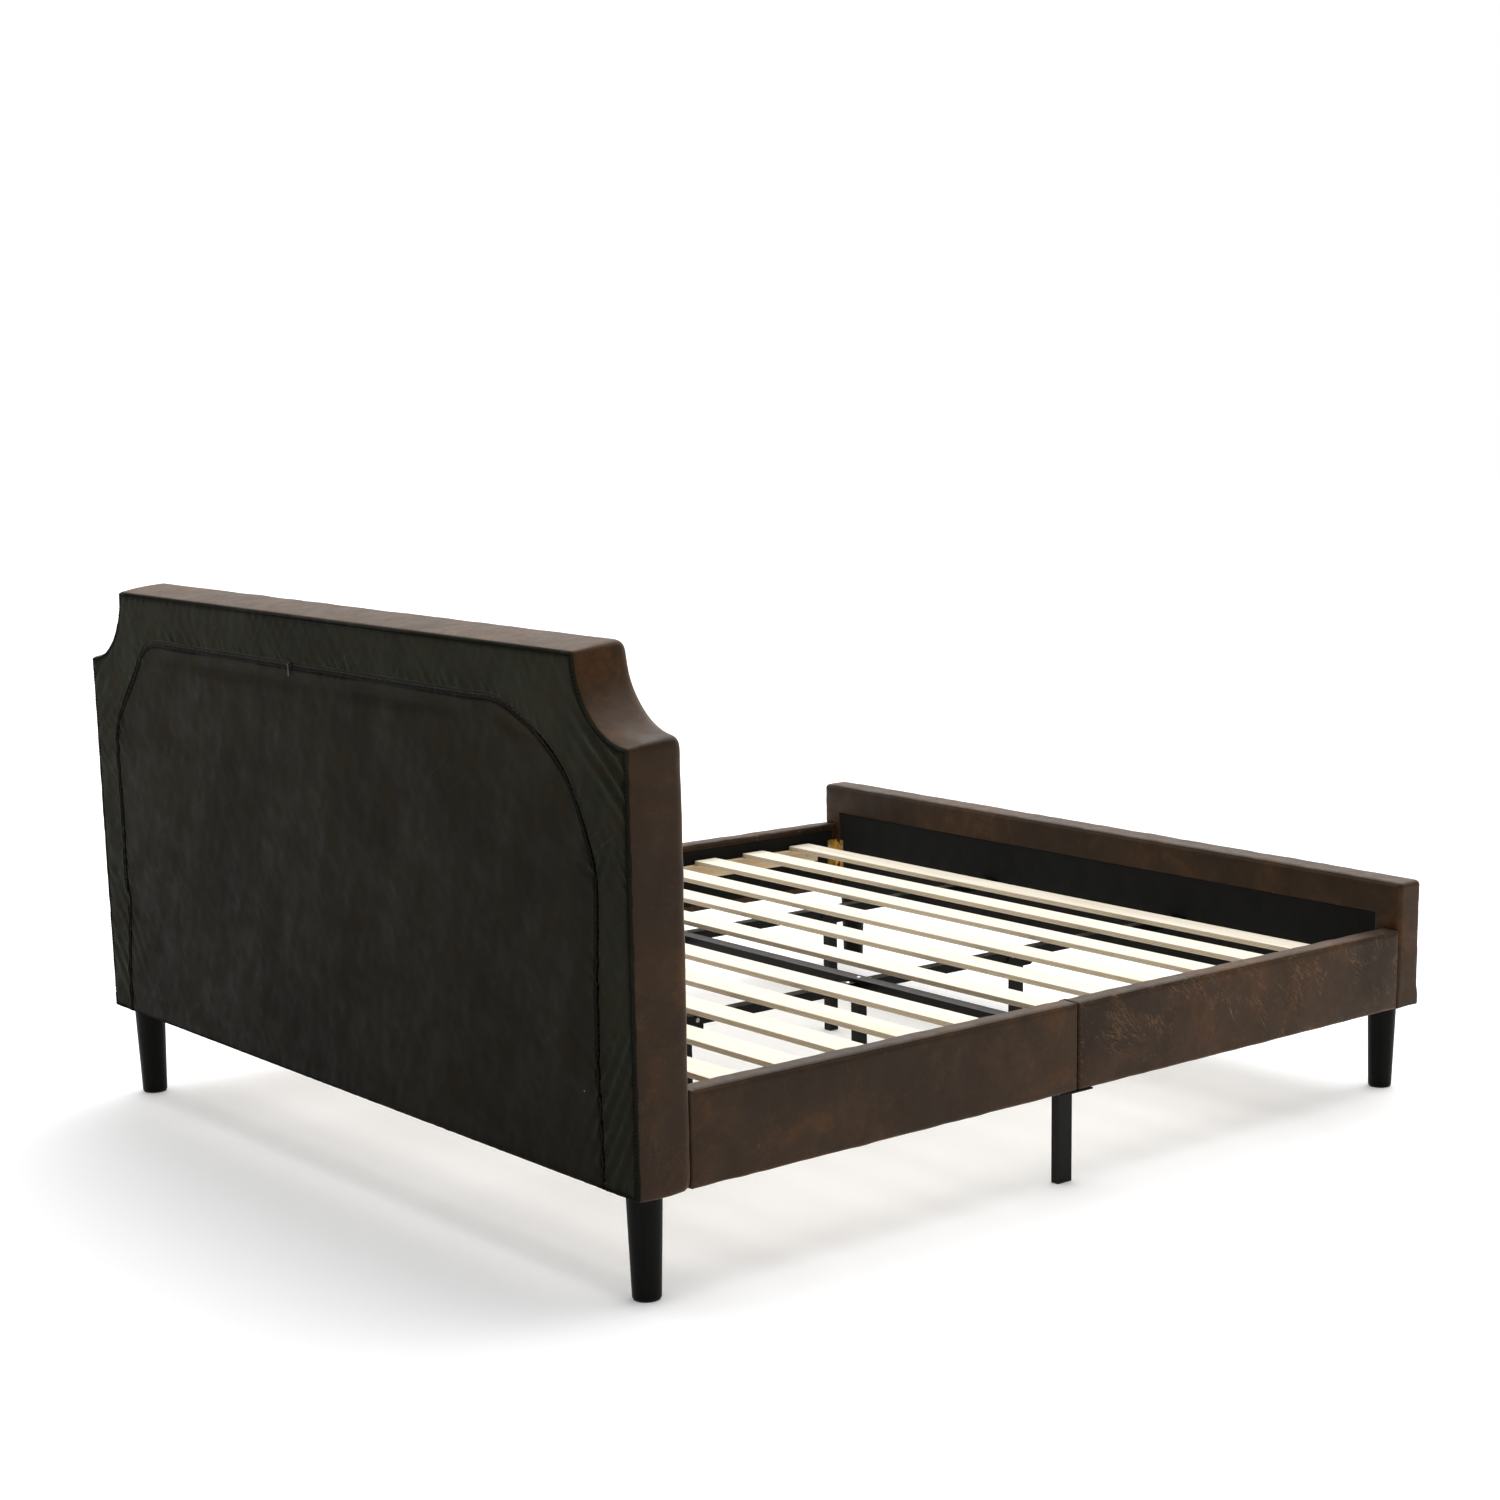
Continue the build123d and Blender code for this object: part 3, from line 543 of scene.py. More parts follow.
headboardSet = {
    "scoop": 0.157,          # radius of the concave corners
    "backDrop": 0.011,       # the padding slopes down to the back above the shoulders
    "frontLift": 0.003,
    "frontFlare": 0.006,     # and stands wider at the front
    "frontRound": 0.016,
    "bandPuff": 0.0022,
    "crown": 0.011,
    "counts": (1046, 416, 888, 124),   # points along the bottom, a side, the top and a scoop, before thinning
    "cornerReach": 14,       # points kept close together on either side of a corner
    "softBack": 6,           # how often corners are smoothed at the back edge
    "softFront": 42,         # and at the front
}


def boardOutline(inset, passes):
    # closed outline, up the +X side first, with its six convex corners rounded by smoothing
    edge, top, bottom = halfWidth - inset, boardTop - inset, boardBottom + inset
    alongBottom, alongSide, alongTop, alongScoop = headboardSet["counts"]
    radius = headboardSet["scoop"] + inset
    reach = math.sqrt(radius**2 - inset**2)
    lip = math.asin(inset / radius)
    turn = np.linspace(-math.pi / 2 - lip, -math.pi + lip, alongScoop)
    arc = np.column_stack([halfWidth + radius * np.cos(turn), boardTop + radius * np.sin(turn)])

    def straight(start, end, count):
        share = np.linspace(0, 1, count, endpoint=False)[:, None]
        return np.array(start) + (np.array(end) - np.array(start)) * share

    shoulder, left = boardTop - reach, halfWidth - reach
    runs = [straight((-edge, bottom), (edge, bottom), alongBottom),
            straight((edge, bottom), (edge, shoulder), alongSide), arc[:-1],
            straight((left, top), (-left, top), alongTop), (arc[::-1] * (-1, 1))[:-1],
            straight((-edge, shoulder), (-edge, bottom), alongSide)]
    line = np.concatenate(runs)
    starts = np.cumsum([0] + [len(r) for r in runs])[:-1]
    near = np.zeros(len(line))
    for start in starts:
        gap = np.abs((np.arange(len(line)) - start + len(line) // 2) % len(line) - len(line) // 2)
        near = np.maximum(near, np.clip(1.3 - gap / 16, 0, 1))
    for _ in range(passes):
        middle = (np.roll(line, 1, 0) + np.roll(line, -1, 0)) / 2
        line = line + (middle - line) * near[:, None]
    keep = np.zeros(len(line), bool)
    keep[::4] = True
    for start in starts:
        for shift in range(-headboardSet["cornerReach"], headboardSet["cornerReach"] + 1, 2):
            keep[(start + shift) % len(line)] = True
    return line[keep]


def lean(outline, forward):
    # forward is 0 at the back edge and 1 at the front
    x, z = outline[:, 0], outline[:, 1]
    upper = ramp(z, 0.78, 1.03)
    drop = headboardSet["backDrop"] * (1 - forward) - headboardSet["frontLift"] * forward
    flare = headboardSet["frontFlare"] * forward * np.sign(x) * ramp(np.abs(x), 0.55, 1.0)
    return np.column_stack([x + flare, z - upper * drop])


def makeHeadboardCover(finish):
    depth = boardBack - boardFront
    rounding = headboardSet["frontRound"]
    softBack, softFront = headboardSet["softBack"], headboardSet["softFront"]
    # rings as (inset, y, passes): turned in at the back, puffed along the band, rounded to the front
    rings = [(inset, boardBack - behind, softBack)
             for inset, behind in ((0.010, 0.0030), (0.0025, 0.0012), (0.0006, 0.0016), (0.0, 0.0036))]
    for y in np.linspace(boardBack - 0.008, boardFront + rounding, 13):
        share = (boardBack - y) / depth
        puff = headboardSet["bandPuff"] * math.sin(math.pi * min(1, share * 1.05))
        rings.append((-puff, y, softBack + 34 * share))
    for a in np.radians(np.linspace(10, 90, 9)):
        rings.append((rounding * (1 - math.cos(a)), boardFront + rounding * (1 - math.sin(a)), softFront))
    rings += [(rounding + step, boardFront, softFront) for step in (0.006, 0.014, 0.024, 0.036, 0.050)]
    points, faces = [], []
    for number, (inset, y, passes) in enumerate(rings):
        forward = min(1, (boardBack - y) / (depth - rounding))
        outline = lean(boardOutline(inset, round(passes)), forward)
        points += [(x, y, z) for x, z in outline]
        count = len(outline)
        if number:
            faces += ringFaces((number - 1) * count, number * count, count)
    grid = gridInside(lean(boardOutline(0.078, softFront), 1.0), 0.017, 3)
    field, triangles, origin = fillLoop(outline, grid)
    match = {}
    for i, sources in enumerate(origin):
        own = [s for s in sources if s < count]
        if own:
            match[i] = (len(rings) - 1) * count + own[0]
        else:
            match[i] = len(points)
            points.append((field[i][0], boardFront, field[i][1]))
    faces += [tuple(match[i] for i in reversed(t)) for t in triangles]
    points = np.array(points)
    # the padded front swells away from its edge, above the rails
    front = points[:, 1] < boardFront + rounding
    flat = points[front][:, [0, 2]]
    gap, _, _ = offPath(flat, closed(lean(boardOutline(0, softFront), 1.0)))
    swell = headboardSet["crown"] * (1 - np.exp(-gap / 0.075)) * ramp(flat[:, 1], 0.40, 0.66)
    swell += 0.0012 * waves(flat, 0.32, 21) * ramp(gap, 0.02, 0.15) * ramp(flat[:, 1], 0.42, 0.6)
    points[front, 1] -= swell
    uneven = 0.0006 * waves(points, 0.12, 5) + 0.0002 * waves(points, 0.05, 6)
    centre = np.array([0, boardBack, 0.62])
    away = points - centre
    away[:, 1] *= 3
    away /= np.linalg.norm(away, axis=1)[:, None]
    points += away * (uneven * ramp(boardBack - points[:, 1], 0.004, 0.03))[:, None]
    piece = makePiece("headboardCover", points, faces, finish, "leatherette")
    turnOutward(piece)
    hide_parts("headboard_cover", "headboard_foam")


def turnOutward(piece):
    # all faces one way round, with the outside out
    work = bmesh.new()
    work.from_mesh(piece.data)
    bmesh.ops.recalc_face_normals(work, faces=work.faces)
    work.to_mesh(piece.data)
    work.free()


# ---- the headboard's back: border, zipped panel and zip

sliderLow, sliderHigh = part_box("zip_slider")
pullLow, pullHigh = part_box("zip_pull")
zipLine = (sliderLow.z + sliderHigh.z) / 2           # height of the zip where the slider runs
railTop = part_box("headboard_bottom_rail")[1].z       # the frame's lowest timber, behind the cloth

backSet = {
    "slit": 0.0034,          # between the two folded edges of the zip
    "foldWidth": 0.0088,
    "foldHeight": 0.0018,
    "foldGroove": 0.0024,
    "sliderRoom": 0.0005,    # how far the cloth may stand out beside the zip's slider
    "tapeDepth": -0.0009,    # how deep its edges may sink between the slider's plates
    "pullRoom": 0.0031,      # and how far out it may be below the pin of the pull
    "scallop": 0.0011,       # waves of the gathered edges
    "seamInset": 0.0068,     # the seam beside the headboard's back edge
    "seamDepth": 0.0028,
    "borderCut": (0.19, 3.72),   # three strips sewn end to end
    "panelCut": (1.94, 0.90),
    "routeStep": 0.0035,
    # rows of points beside the zip, and beside the rim on the border and on the panel
    "zipRows": (0.0010, 0.0021, 0.0033, 0.0046, 0.0061, 0.0073, 0.0086, 0.0104, 0.0138, 0.0185),
    "seamRows": (0.0013, 0.0026, 0.0040, 0.0052, 0.0060, 0.0068,
                 0.0077, 0.0088, 0.0104, 0.0121, 0.0140, 0.0162),
    "hemRows": (0.0026, 0.0055, 0.0086),
    # longer folds that run in from the shoulders and the lower corners: side, height, direction, seed
    "cornerFolds": ((-1, 0.98, 0.9, 41), (1, 0.98, 0.9, 42), (-1, 0.33, -0.55, 43), (1, 0.30, -0.6, 44)),
    "cornerFold": 0.0021,
    "rimDrag": 0.0013,       # drag lines that start at the rim
    "zipDrag": 0.0010,       # and at the zip
    "gather": 0.00055,       # small puckers along the zip
    "ease": 0.0005,          # how softly the cloth is kept off the timber
    "floorAt": -0.0004,
    # the zip's route from its lower -X end, as steps in from the side and down from the slider's line
    "rightSide": [(0.000, 0.879), (0.002, 0.752), (0.006, 0.629), (0.001, 0.480), (-0.004, 0.318),
                  (0.008, 0.255), (0.048, 0.173), (0.092, 0.110), (0.156, 0.060), (0.235, 0.022),
                  (0.310, 0.000)],
    "leftSide": [(0.222, 0.000), (0.172, 0.010), (0.140, 0.034), (0.100, 0.084), (0.040, 0.152),
                 (0.010, 0.196), (-0.002, 0.262), (-0.005, 0.388), (-0.010, 0.560), (0.000, 0.609),
                 (-0.013, 0.750), (-0.021, 0.879)],
}


def smoothRoute(points, step):
    # a Catmull-Rom line through given points, then even steps along it
    points = np.array(points, float)
    padded = np.vstack([2 * points[0] - points[1], points, 2 * points[-1] - points[-2]])
    fine = []
    for a, b, c, d in zip(padded, padded[1:], padded[2:], padded[3:]):
        for t in np.linspace(0, 1, 24, endpoint=False):
            fine.append(0.5 * (2 * b + (c - a) * t + (2 * a - 5 * b + 4 * c - d) * t**2
                               + (3 * b - a - 3 * c + d) * t**3))
    fine = np.array([*fine, points[-1]])
    size = lengthAlong(fine)
    at = np.linspace(0, size[-1], round(size[-1] / step) + 1)
    return np.column_stack([np.interp(at, size, fine[:, 0]), np.interp(at, size, fine[:, 1])])


def zipRoute():
    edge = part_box("zip_chain")[1].x
    route = [(-edge + inward, zipLine - down) for inward, down in backSet["rightSide"]]
    route += [(x, zipLine) for x in np.linspace(-edge + 0.42, edge - 0.33, 7)]
    route += [(edge - inward, zipLine - down) for inward, down in backSet["leftSide"]]
    return smoothRoute(route, backSet["routeStep"])


def sideways(path):
    along = np.gradient(path, axis=0)
    along /= np.linalg.norm(along, axis=1)[:, None]
    return np.column_stack([-along[:, 1], along[:, 0]])


def backHeight(flat, route, rim):
    # how far the cloth stands behind the headboard's back plane, point by point
    toZip, alongZip, outerSide = offPath(flat, route)
    toRim, alongRim, _ = offPath(flat, rim)
    onPanel = outerSide < 0
    s = alongZip[:, None]
    e = alongRim[:, None]
    height = (0.0018 * waves(flat, 0.42, 31) + 0.0006 * waves(flat, 0.16, 30)) * ramp(toRim, 0.02, 0.12)
    # drag lines that start at the rim, at the zip and at the shoulders
    slant = alongRim + toRim * (0.75 + 0.35 * np.sin(alongRim * 5.0))
    fade = np.exp(-toRim / 0.055) * ramp(toRim, 0.006, 0.016)
    fade *= 0.45 + 0.55 * np.clip(waves(e, 0.30, 33), -1, 1)
    height += backSet["rimDrag"] * waves(slant[:, None], 0.030, 32) * fade
    slant = alongZip - toZip * 0.9
    fade = np.exp(-toZip / 0.050) * (0.45 + 0.55 * np.clip(waves(s, 0.35, 35), -1, 1))
    height += backSet["zipDrag"] * waves(slant[:, None], 0.036, 34) * fade
    height += backSet["gather"] * waves(s, 0.0105, 36, 8, 0.3) * np.exp(-toZip / 0.010)
    for x, z, way, seed in backSet["cornerFolds"]:
        near = bell(flat[:, 0], x * halfWidth * 0.97, 0.11) * bell(flat[:, 1], z, 0.17)
        across = (flat[:, 0] * x * math.cos(way) + flat[:, 1] * math.sin(way))[:, None]
        near *= backSet["cornerFold"] * ramp(toRim, 0.004, 0.02)
        height += near * waves(across, 0.034, seed, 7, 0.35)
    height += 0.00035 * waves(flat, 0.05, 37)
    # seam: a rolled edge, a sewn groove inside it, and a second lighter one
    roll = backSet["seamInset"]
    height += 0.0010 * bell(toRim, roll * 0.5, roll * 0.42)
    height -= backSet["seamDepth"] * bell(toRim, roll, 0.0018)
    height += 0.0007 * bell(toRim, roll * 1.35, 0.0022)
    height -= 0.0007 * bell(toRim, roll * 1.75, 0.0015)
    height += 0.0028 * ramp(toRim, 0.0006, 0.0035)
    height -= 0.0034 * ramp(-toRim, -0.0010, 0.0)
    # zip: each edge is folded back, so it stands up and then dives into the slit
    fold = backSet["foldHeight"] * bell(toZip, 0.0046, 0.0030) * np.where(onPanel, 1.0, 0.35)
    groove = -backSet["foldGroove"] * bell(toZip, backSet["foldWidth"], 0.0019) * onPanel
    dive = -0.0034 * ramp(-toZip, -0.0030, -0.0012)
    height += fold * (1 + 0.3 * waves(s, 0.013, 38, 8, 0.3)) + groove + dive
    # along its straight top the cloth lies low beside the zip's slider, and under its swinging pull
    beside = backSet["sliderRoom"] + 2.5 * np.clip(toZip - 0.0054, 0, 1)
    under = backSet["pullRoom"] - 0.125 * toZip + 0.5 * np.clip(toZip - 0.038, 0, 1)
    limit = np.clip(np.where(onPanel, np.minimum(beside, under), beside), -1, 0.05)
    soft = -np.log(np.exp(-height / 0.0002) + np.exp(-limit / 0.0002)) * 0.0002
    soft = np.where(toZip < 0.0075, np.maximum(soft, backSet["tapeDepth"]), soft)
    straight = ramp(-np.abs(flat[:, 0]), -0.81, -0.74) * ramp(flat[:, 1], zipLine - 0.075, zipLine - 0.060)
    height += (soft - height) * straight
    # over the frame's timber the cloth only stands outwards
    toEdge, _, _ = offPath(flat, closed(boardOutline(0, headboardSet["softBack"])))
    level = flat[:, 1] - boardBottom
    timber = ramp(toEdge, 0.0105, 0.0125) * ramp(-toEdge, -0.046, -0.042)
    timber = np.maximum(timber, ramp(-flat[:, 1], -railTop - 0.004, -railTop) * ramp(level, 0.0004, 0.0010))
    floorAt, ease = backSet["floorAt"], backSet["ease"]
    kept = floorAt + ease * np.log1p(np.exp((height - 2 * floorAt) / ease))
    # shade gathers in the sewn lines and along the slit
    shade = bell(toRim, roll, 0.0021) + 0.6 * bell(toRim, roll * 1.75, 0.0015)
    shade += bell(toZip, backSet["foldWidth"], 0.0022) * onPanel + ramp(-toZip, -0.0042, -0.0015)
    return height + (kept - height) * timber, np.clip(shade, 0, 1)


def makeBackCloth(borderFinish, panelFinish, coilFinish):
    route = zipRoute()
    normal = sideways(route)                        # points out of the arch
    size = lengthAlong(route)
    rim = lean(boardOutline(0, headboardSet["softBack"]), 0)
    wobble = backSet["scallop"] * (0.35 + 0.65 * ramp(-size, -1.25, -0.55))
    half = backSet["slit"] / 2

    def beside(way, wave):
        # the cloth's edge at one side of the slit, and rows of points that lose its waves further in
        edge = route + way * normal * (half + wave)[:, None]
        return edge, [route + way * normal * (half + wave * math.exp(-o / 0.006) + o)[:, None]
                      for o in backSet["zipRows"]]

    outerEdge, outerRows = beside(1, wobble * waves(size[:, None], 0.016, 51, 8, 0.35))
    innerEdge, innerRows = beside(-1, wobble * waves(size[:, None], 0.017, 52, 8, 0.35))
    outerEdge[[0, -1], 1] = innerEdge[[0, -1], 1] = boardBottom

    bottomRun = rim[:, 1] < boardBottom + 0.0006
    right = rim[bottomRun & (rim[:, 0] < outerEdge[0, 0] - 0.004)]
    right = right[np.argsort(right[:, 0])]
    left = rim[bottomRun & (rim[:, 0] > outerEdge[-1, 0] + 0.004)]
    left = left[np.argsort(left[:, 0])]
    rest = rim[~bottomRun]
    startAt = np.argmax((rest[:, 0] > 0) & (rest[:, 1] < boardBottom + 0.01))
    rest = np.roll(rest, -startAt, axis=0)
    loop = np.concatenate([left, rest, right, outerEdge])
    common = (route, closed(rim))
    makeSheet("backBorder", loop, [*insetRows("seamRows"), *outerRows], 0.0082, 61, *common, borderFinish,
              "headboard_back_border", backSet["borderCut"])
    low = np.linspace(innerEdge[-1, 0], innerEdge[0, 0], 260)[1:-1]
    loop = np.concatenate([innerEdge, np.column_stack([low, np.full(len(low), boardBottom)])])
    makeSheet("zipPanel", loop, [*insetRows("hemRows"), *innerRows], 0.0105, 62, *common, panelFinish,
              "headboard_zip_panel", backSet["panelCut"])
    makeCoils(route, normal, coilFinish)


def insetRows(rows):
    return [lean(boardOutline(inset, headboardSet["softBack"]), 0) for inset in backSet[rows]]


def makeSheet(name, loop, rows, spacing, seed, route, rim, finish, node, cut):
    lowest = boardBottom + 0.0005
    strips = np.concatenate([row[inside(row, loop) & (row[:, 1] > lowest)] for row in rows])
    ringed, _, _ = offPath(strips, closed(loop))
    strips = strips[ringed > 0.0007]
    grid = gridInside(loop, spacing, seed)
    toZip, _, _ = offPath(grid, route)
    toRim, _, _ = offPath(grid, rim)
    grid = grid[(toZip > backSet["zipRows"][-1] + spacing * 0.6) & (toRim > 0.016 + spacing * 0.6)]
    flat, faces, _ = fillLoop(loop, np.concatenate([strips, grid]))
    height, shade = backHeight(flat, route, rim)
    points = np.column_stack([flat[:, 0], boardBack + height, flat[:, 1]])
    piece = makePiece(name, points, faces, finish, "back_cloth")
    shading = piece.data.attributes.new("sewnShade", "FLOAT", "POINT")
    shading.data.foreach_set("value", shade.astype(np.float32))
    if sum(p.normal.y * p.area for p in piece.data.polygons) < 0:
        piece.data.flip_normals()
    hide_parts(node)


coilSet = {"pitch": 0.0024, "sides": 6, "apart": 0.0018, "radius": 0.0009, "thin": 0.55, "sunk": 0.0003}


def makeCoils(route, normal, finish):
    # two rows of coil, each bead a tooth, sunk in the slit
    sides, radius = coilSet["sides"], coilSet["radius"]
    size = lengthAlong(route)
    at = np.arange(0, size[-1], coilSet["pitch"] / 3)
    centre = np.column_stack([np.interp(at, size, route[:, k]) for k in (0, 1)])
    out = np.column_stack([np.interp(at, size, normal[:, k]) for k in (0, 1)])
    points, faces = [], []
    for side in (-1, 1):
        faces += tubeFaces(len(at), sides, len(points))
        for i, (c, n) in enumerate(zip(centre, out)):
            swell = 1.0 if (i + (side > 0)) % 3 else coilSet["thin"]
            for k in range(sides):
                a = 2 * math.pi * k / sides
                across = side * coilSet["apart"] / 2 + radius * swell * math.cos(a)
                behind = boardBack - coilSet["sunk"] + radius * swell * math.sin(a)
                points.append((c[0] + n[0] * across, behind, max(boardBottom, c[1] + n[1] * across)))
    piece = makePiece("zipCoils", points, faces, finish, "zip_coil")
    turnOutward(piece)
    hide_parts("zip_chain")


# ---- side rails

railSet = {
    "turnIn": 0.016,         # lining folded under at each end of a window
    "topRound": 0.0125,
    "bottomRound": 0.008,
    "innerRound": 0.0028,    # tight where the cover turns over a board's edge
    "endRound": 0.0065,
    "puff": 0.0022,
    "step": 0.009,
    "recess": 0.0009,        # the lining lies this far behind the turned-over cover
    "lap": 0.016,            # width of the cover turned over the board
}


railBoards = [f"{side}_rail_{half}_board" for side in ("left", "right") for half in ("head", "foot")]


def makeRail(side, half, finish, seed):
    low, high = boxOf(f"{side}_rail_{half}_cover")
    sign = 1 if side == "left" else -1
    innerX, outerX = (low[0], high[0]) if sign > 0 else (high[0], low[0])
    lap = railSet["lap"]
    xs = gridLine(low[0], high[0], 0.008, 0.012)
    ys = gridLine(low[1], high[1], railSet["step"], 0.010, (low[1] + lap, high[1] - lap))
    zs = gridLine(low[2], high[2], railSet["step"], 0.013, (low[2] + lap, high[2] - lap))
    points, faces = boxSkin(xs, ys, zs)
    height = (points[:, 2] - low[2]) / (high[2] - low[2])
    fromEnd = np.minimum(points[:, 1] - low[1], high[1] - points[:, 1])
    onInner = np.abs(points[:, 0] - innerX) < 1e-6
    outward = ramp(np.abs(points[:, 0] - innerX) / (high[0] - low[0]), 0.2, 0.6)
    low0 = railSet["innerRound"] + (railSet["bottomRound"] - railSet["innerRound"]) * outward
    radius = low0 + (railSet["topRound"] - low0) * ramp(height, 0.55, 0.9)
    atEnd = railSet["innerRound"] + (railSet["endRound"] - railSet["innerRound"]) * outward
    radius = radius + (atEnd - radius) * ramp(-fromEnd, -0.016, -0.003)
    shaped, normal = roundOff(points, low, high, radius)
    share = np.clip(fromEnd / 0.06, 0, 1)
    puff = railSet["puff"] * (1 - (1 - share) ** 2) * (1 - np.abs(2 * height - 1) ** 3)
    puff *= 1 + 0.5 * waves(points, 0.35, seed)
    onOuter = np.abs(points[:, 0] - outerX) < 1e-6
    onTop = np.abs(points[:, 2] - high[2]) < 1e-6
    swell = np.where(onOuter, puff, 0) + np.where(onTop, 0.0012 * share, 0)
    uneven = 0.0004 * waves(points, 0.09, seed + 1) + 0.00018 * waves(points, 0.045, seed + 2)
    swell += uneven * share * ~onInner
    # a pulled line beside each sewn end
    swell -= 0.0006 * bell(fromEnd, 0.009, 0.0018) * ~onInner
    y, z = points[:, 1], points[:, 2]
    window = onInner & (y > low[1] + lap) & (y < high[1] - lap) & (z > low[2] + lap) & (z < high[2] - lap)
    swell = np.where(window, -railSet["recess"], swell)
    shaped += normal * swell[:, None]
    piece = makePiece(f"{side}Rail{half.title()}Cover", shaped, faces, finish, "leatherette")
    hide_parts(f"{side}_rail_{half}_cover")
    if (side, half) == ("right", "head"):
        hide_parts("rail_foam_pads")
    return (innerX + sign * railSet["recess"] * 0.5, sign, low + lap, high - lap)


def makeLinings(windows, finish):
    # four sheets of lining, one mesh, each a little wavy and lying in the window of its cover
    points, faces = [], []
    for (x, sign, low, high) in windows:
        ys = np.linspace(low[1] + 0.0006, high[1] - 0.0006, 90)
        zs = np.linspace(low[2] + 0.0006, high[2] - 0.0006, 18)
        own = gridFaces(len(ys), len(zs), len(points))
        faces += own if sign < 0 else [face[::-1] for face in own]
        flat = np.array([(y, z) for y in ys for z in zs])
        edge = np.minimum.reduce([flat[:, 0] - ys[0], ys[-1] - flat[:, 0],
                                  flat[:, 1] - zs[0], zs[-1] - flat[:, 1]])
        wave = 0.00012 * waves(flat, 0.08, 71 + len(points)) * ramp(edge, 0.0, 0.02)
        points += [(x + sign * w, y, z) for (y, z), w in zip(flat, wave)]
    piece = makePiece("railLinings", points, faces, finish, "black_lining")
    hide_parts("rail_linings")
    low, high = boxOf("left_rail_head_cover")


# ---- footboard

footboardSet = {
    "round": 0.012,
    "puff": 0.003,
    "step": 0.011,
    "recess": 0.0008,
    "border": 0.0030,        # the leather border stands this far in front of the lining
    "crease": 0.0012,
    "joinAbove": 0.042,      # the border's sewn join, above the rails
    "turnIn": 0.015,         # lining folded under at each edge
}


def makeFootboard(finish, liningFinish):
    low, high = boxOf("footboard_cover")
    windowLow, windowHigh = boxOf("footboard_lining")
    xs = gridLine(low[0], high[0], footboardSet["step"], 0.013, (windowLow[0], windowHigh[0]))
    ys = gridLine(low[1], high[1], 0.009, 0.012)
    zs = gridLine(low[2], high[2], footboardSet["step"], 0.013, (windowHigh[2],))
    points, faces = boxSkin(xs, ys, zs)
    radius = footboardSet["round"] - 0.0088 * ramp(-points[:, 2], -low[2] - 0.05, -low[2] - 0.02)
    shaped, normal = roundOff(points, low, high, radius)
    onInner = np.abs(points[:, 1] - high[1]) < 1e-6
    onOuter = np.abs(points[:, 1] - low[1]) < 1e-6
    onTop = np.abs(points[:, 2] - high[2]) < 1e-6
    fromSide = halfWidth - np.abs(points[:, 0])
    fromTop = high[2] - points[:, 2]
    edge = np.minimum(fromSide, np.minimum(fromTop, points[:, 2] - low[2]))
    share = np.clip(edge / 0.05, 0, 1)
    swell = np.where(onOuter, footboardSet["puff"] * (1 - (1 - share) ** 2), 0)
    swell += np.where(onTop, 0.0014 * np.clip(fromSide / 0.08, 0, 1), 0)
    window = onInner & (np.abs(points[:, 0]) < windowHigh[0]) & (points[:, 2] < windowHigh[2])
    border = onInner & ~window
    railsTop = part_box("left_rail_foot_cover")[1].z
    besideRail = (fromSide < 0.052) & (points[:, 2] < railsTop)
    raised = footboardSet["border"] * np.clip(edge / 0.02, 0, 1) * np.where(besideRail, 0.15, 1)
    swell += np.where(border, raised, 0)
    swell += 0.0005 * waves(points, 0.10, 81) + 0.0002 * waves(points, 0.05, 82)
    swell = np.where(window, -footboardSet["recess"], swell)
    # folded corners: a short crease down each end from the top
    atEnd = np.abs(np.abs(points[:, 0]) - halfWidth) < 1e-6
    crease = bell(fromTop, 0.010 + 0.25 * (points[:, 1] - low[1]), 0.0022)
    swell -= np.where(atEnd & ~window, footboardSet["crease"] * crease, 0)
    # sewn join in the border beside the lining, level with the rails' top
    line = bell(points[:, 2], railsTop + footboardSet["joinAbove"] + 0.10 * (fromSide - 0.03), 0.0025)
    swell -= np.where(border & (fromSide < 0.072), footboardSet["crease"] * line, 0)
    shaped += normal * swell[:, None]
    piece = makePiece("footboardCover", shaped, faces, finish, "leatherette")
    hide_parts("footboard_cover", "footboard_foam")

    xs = np.linspace(windowLow[0] + 0.0008, windowHigh[0] - 0.0008, 210)
    zs = np.linspace(windowLow[2] + 0.002, windowHigh[2] - 0.0008, 30)
    flat = np.array([(x, z) for x in xs for z in zs])
    edge = np.minimum.reduce([flat[:, 0] - xs[0], xs[-1] - flat[:, 0], zs[-1] - flat[:, 1]])
    sag = (0.0005 * waves(flat, 0.10, 83) + 0.0003 * waves(flat, 0.03, 84)) * ramp(edge, 0.0, 0.03)
    points = np.column_stack([flat[:, 0], high[1] + 0.0008 + sag, flat[:, 1]])
    faces = [(a, d, c, b) for a, b, c, d in gridFaces(len(xs), len(zs))]
    lining = makePiece("footboardLining", points, faces, liningFinish, "black_lining")
    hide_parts("footboard_lining")


# ---- slats, legs, screws

slatSet = {
    "count": 12,
    "edgeRound": 0.0016,
    "bow": 0.0012,           # how far each sags in the middle
    "bend": 0.0005,
    "skew": 0.0006,
    "steps": (0.05, 0.02, 0.004),
    "seed": 100,
}


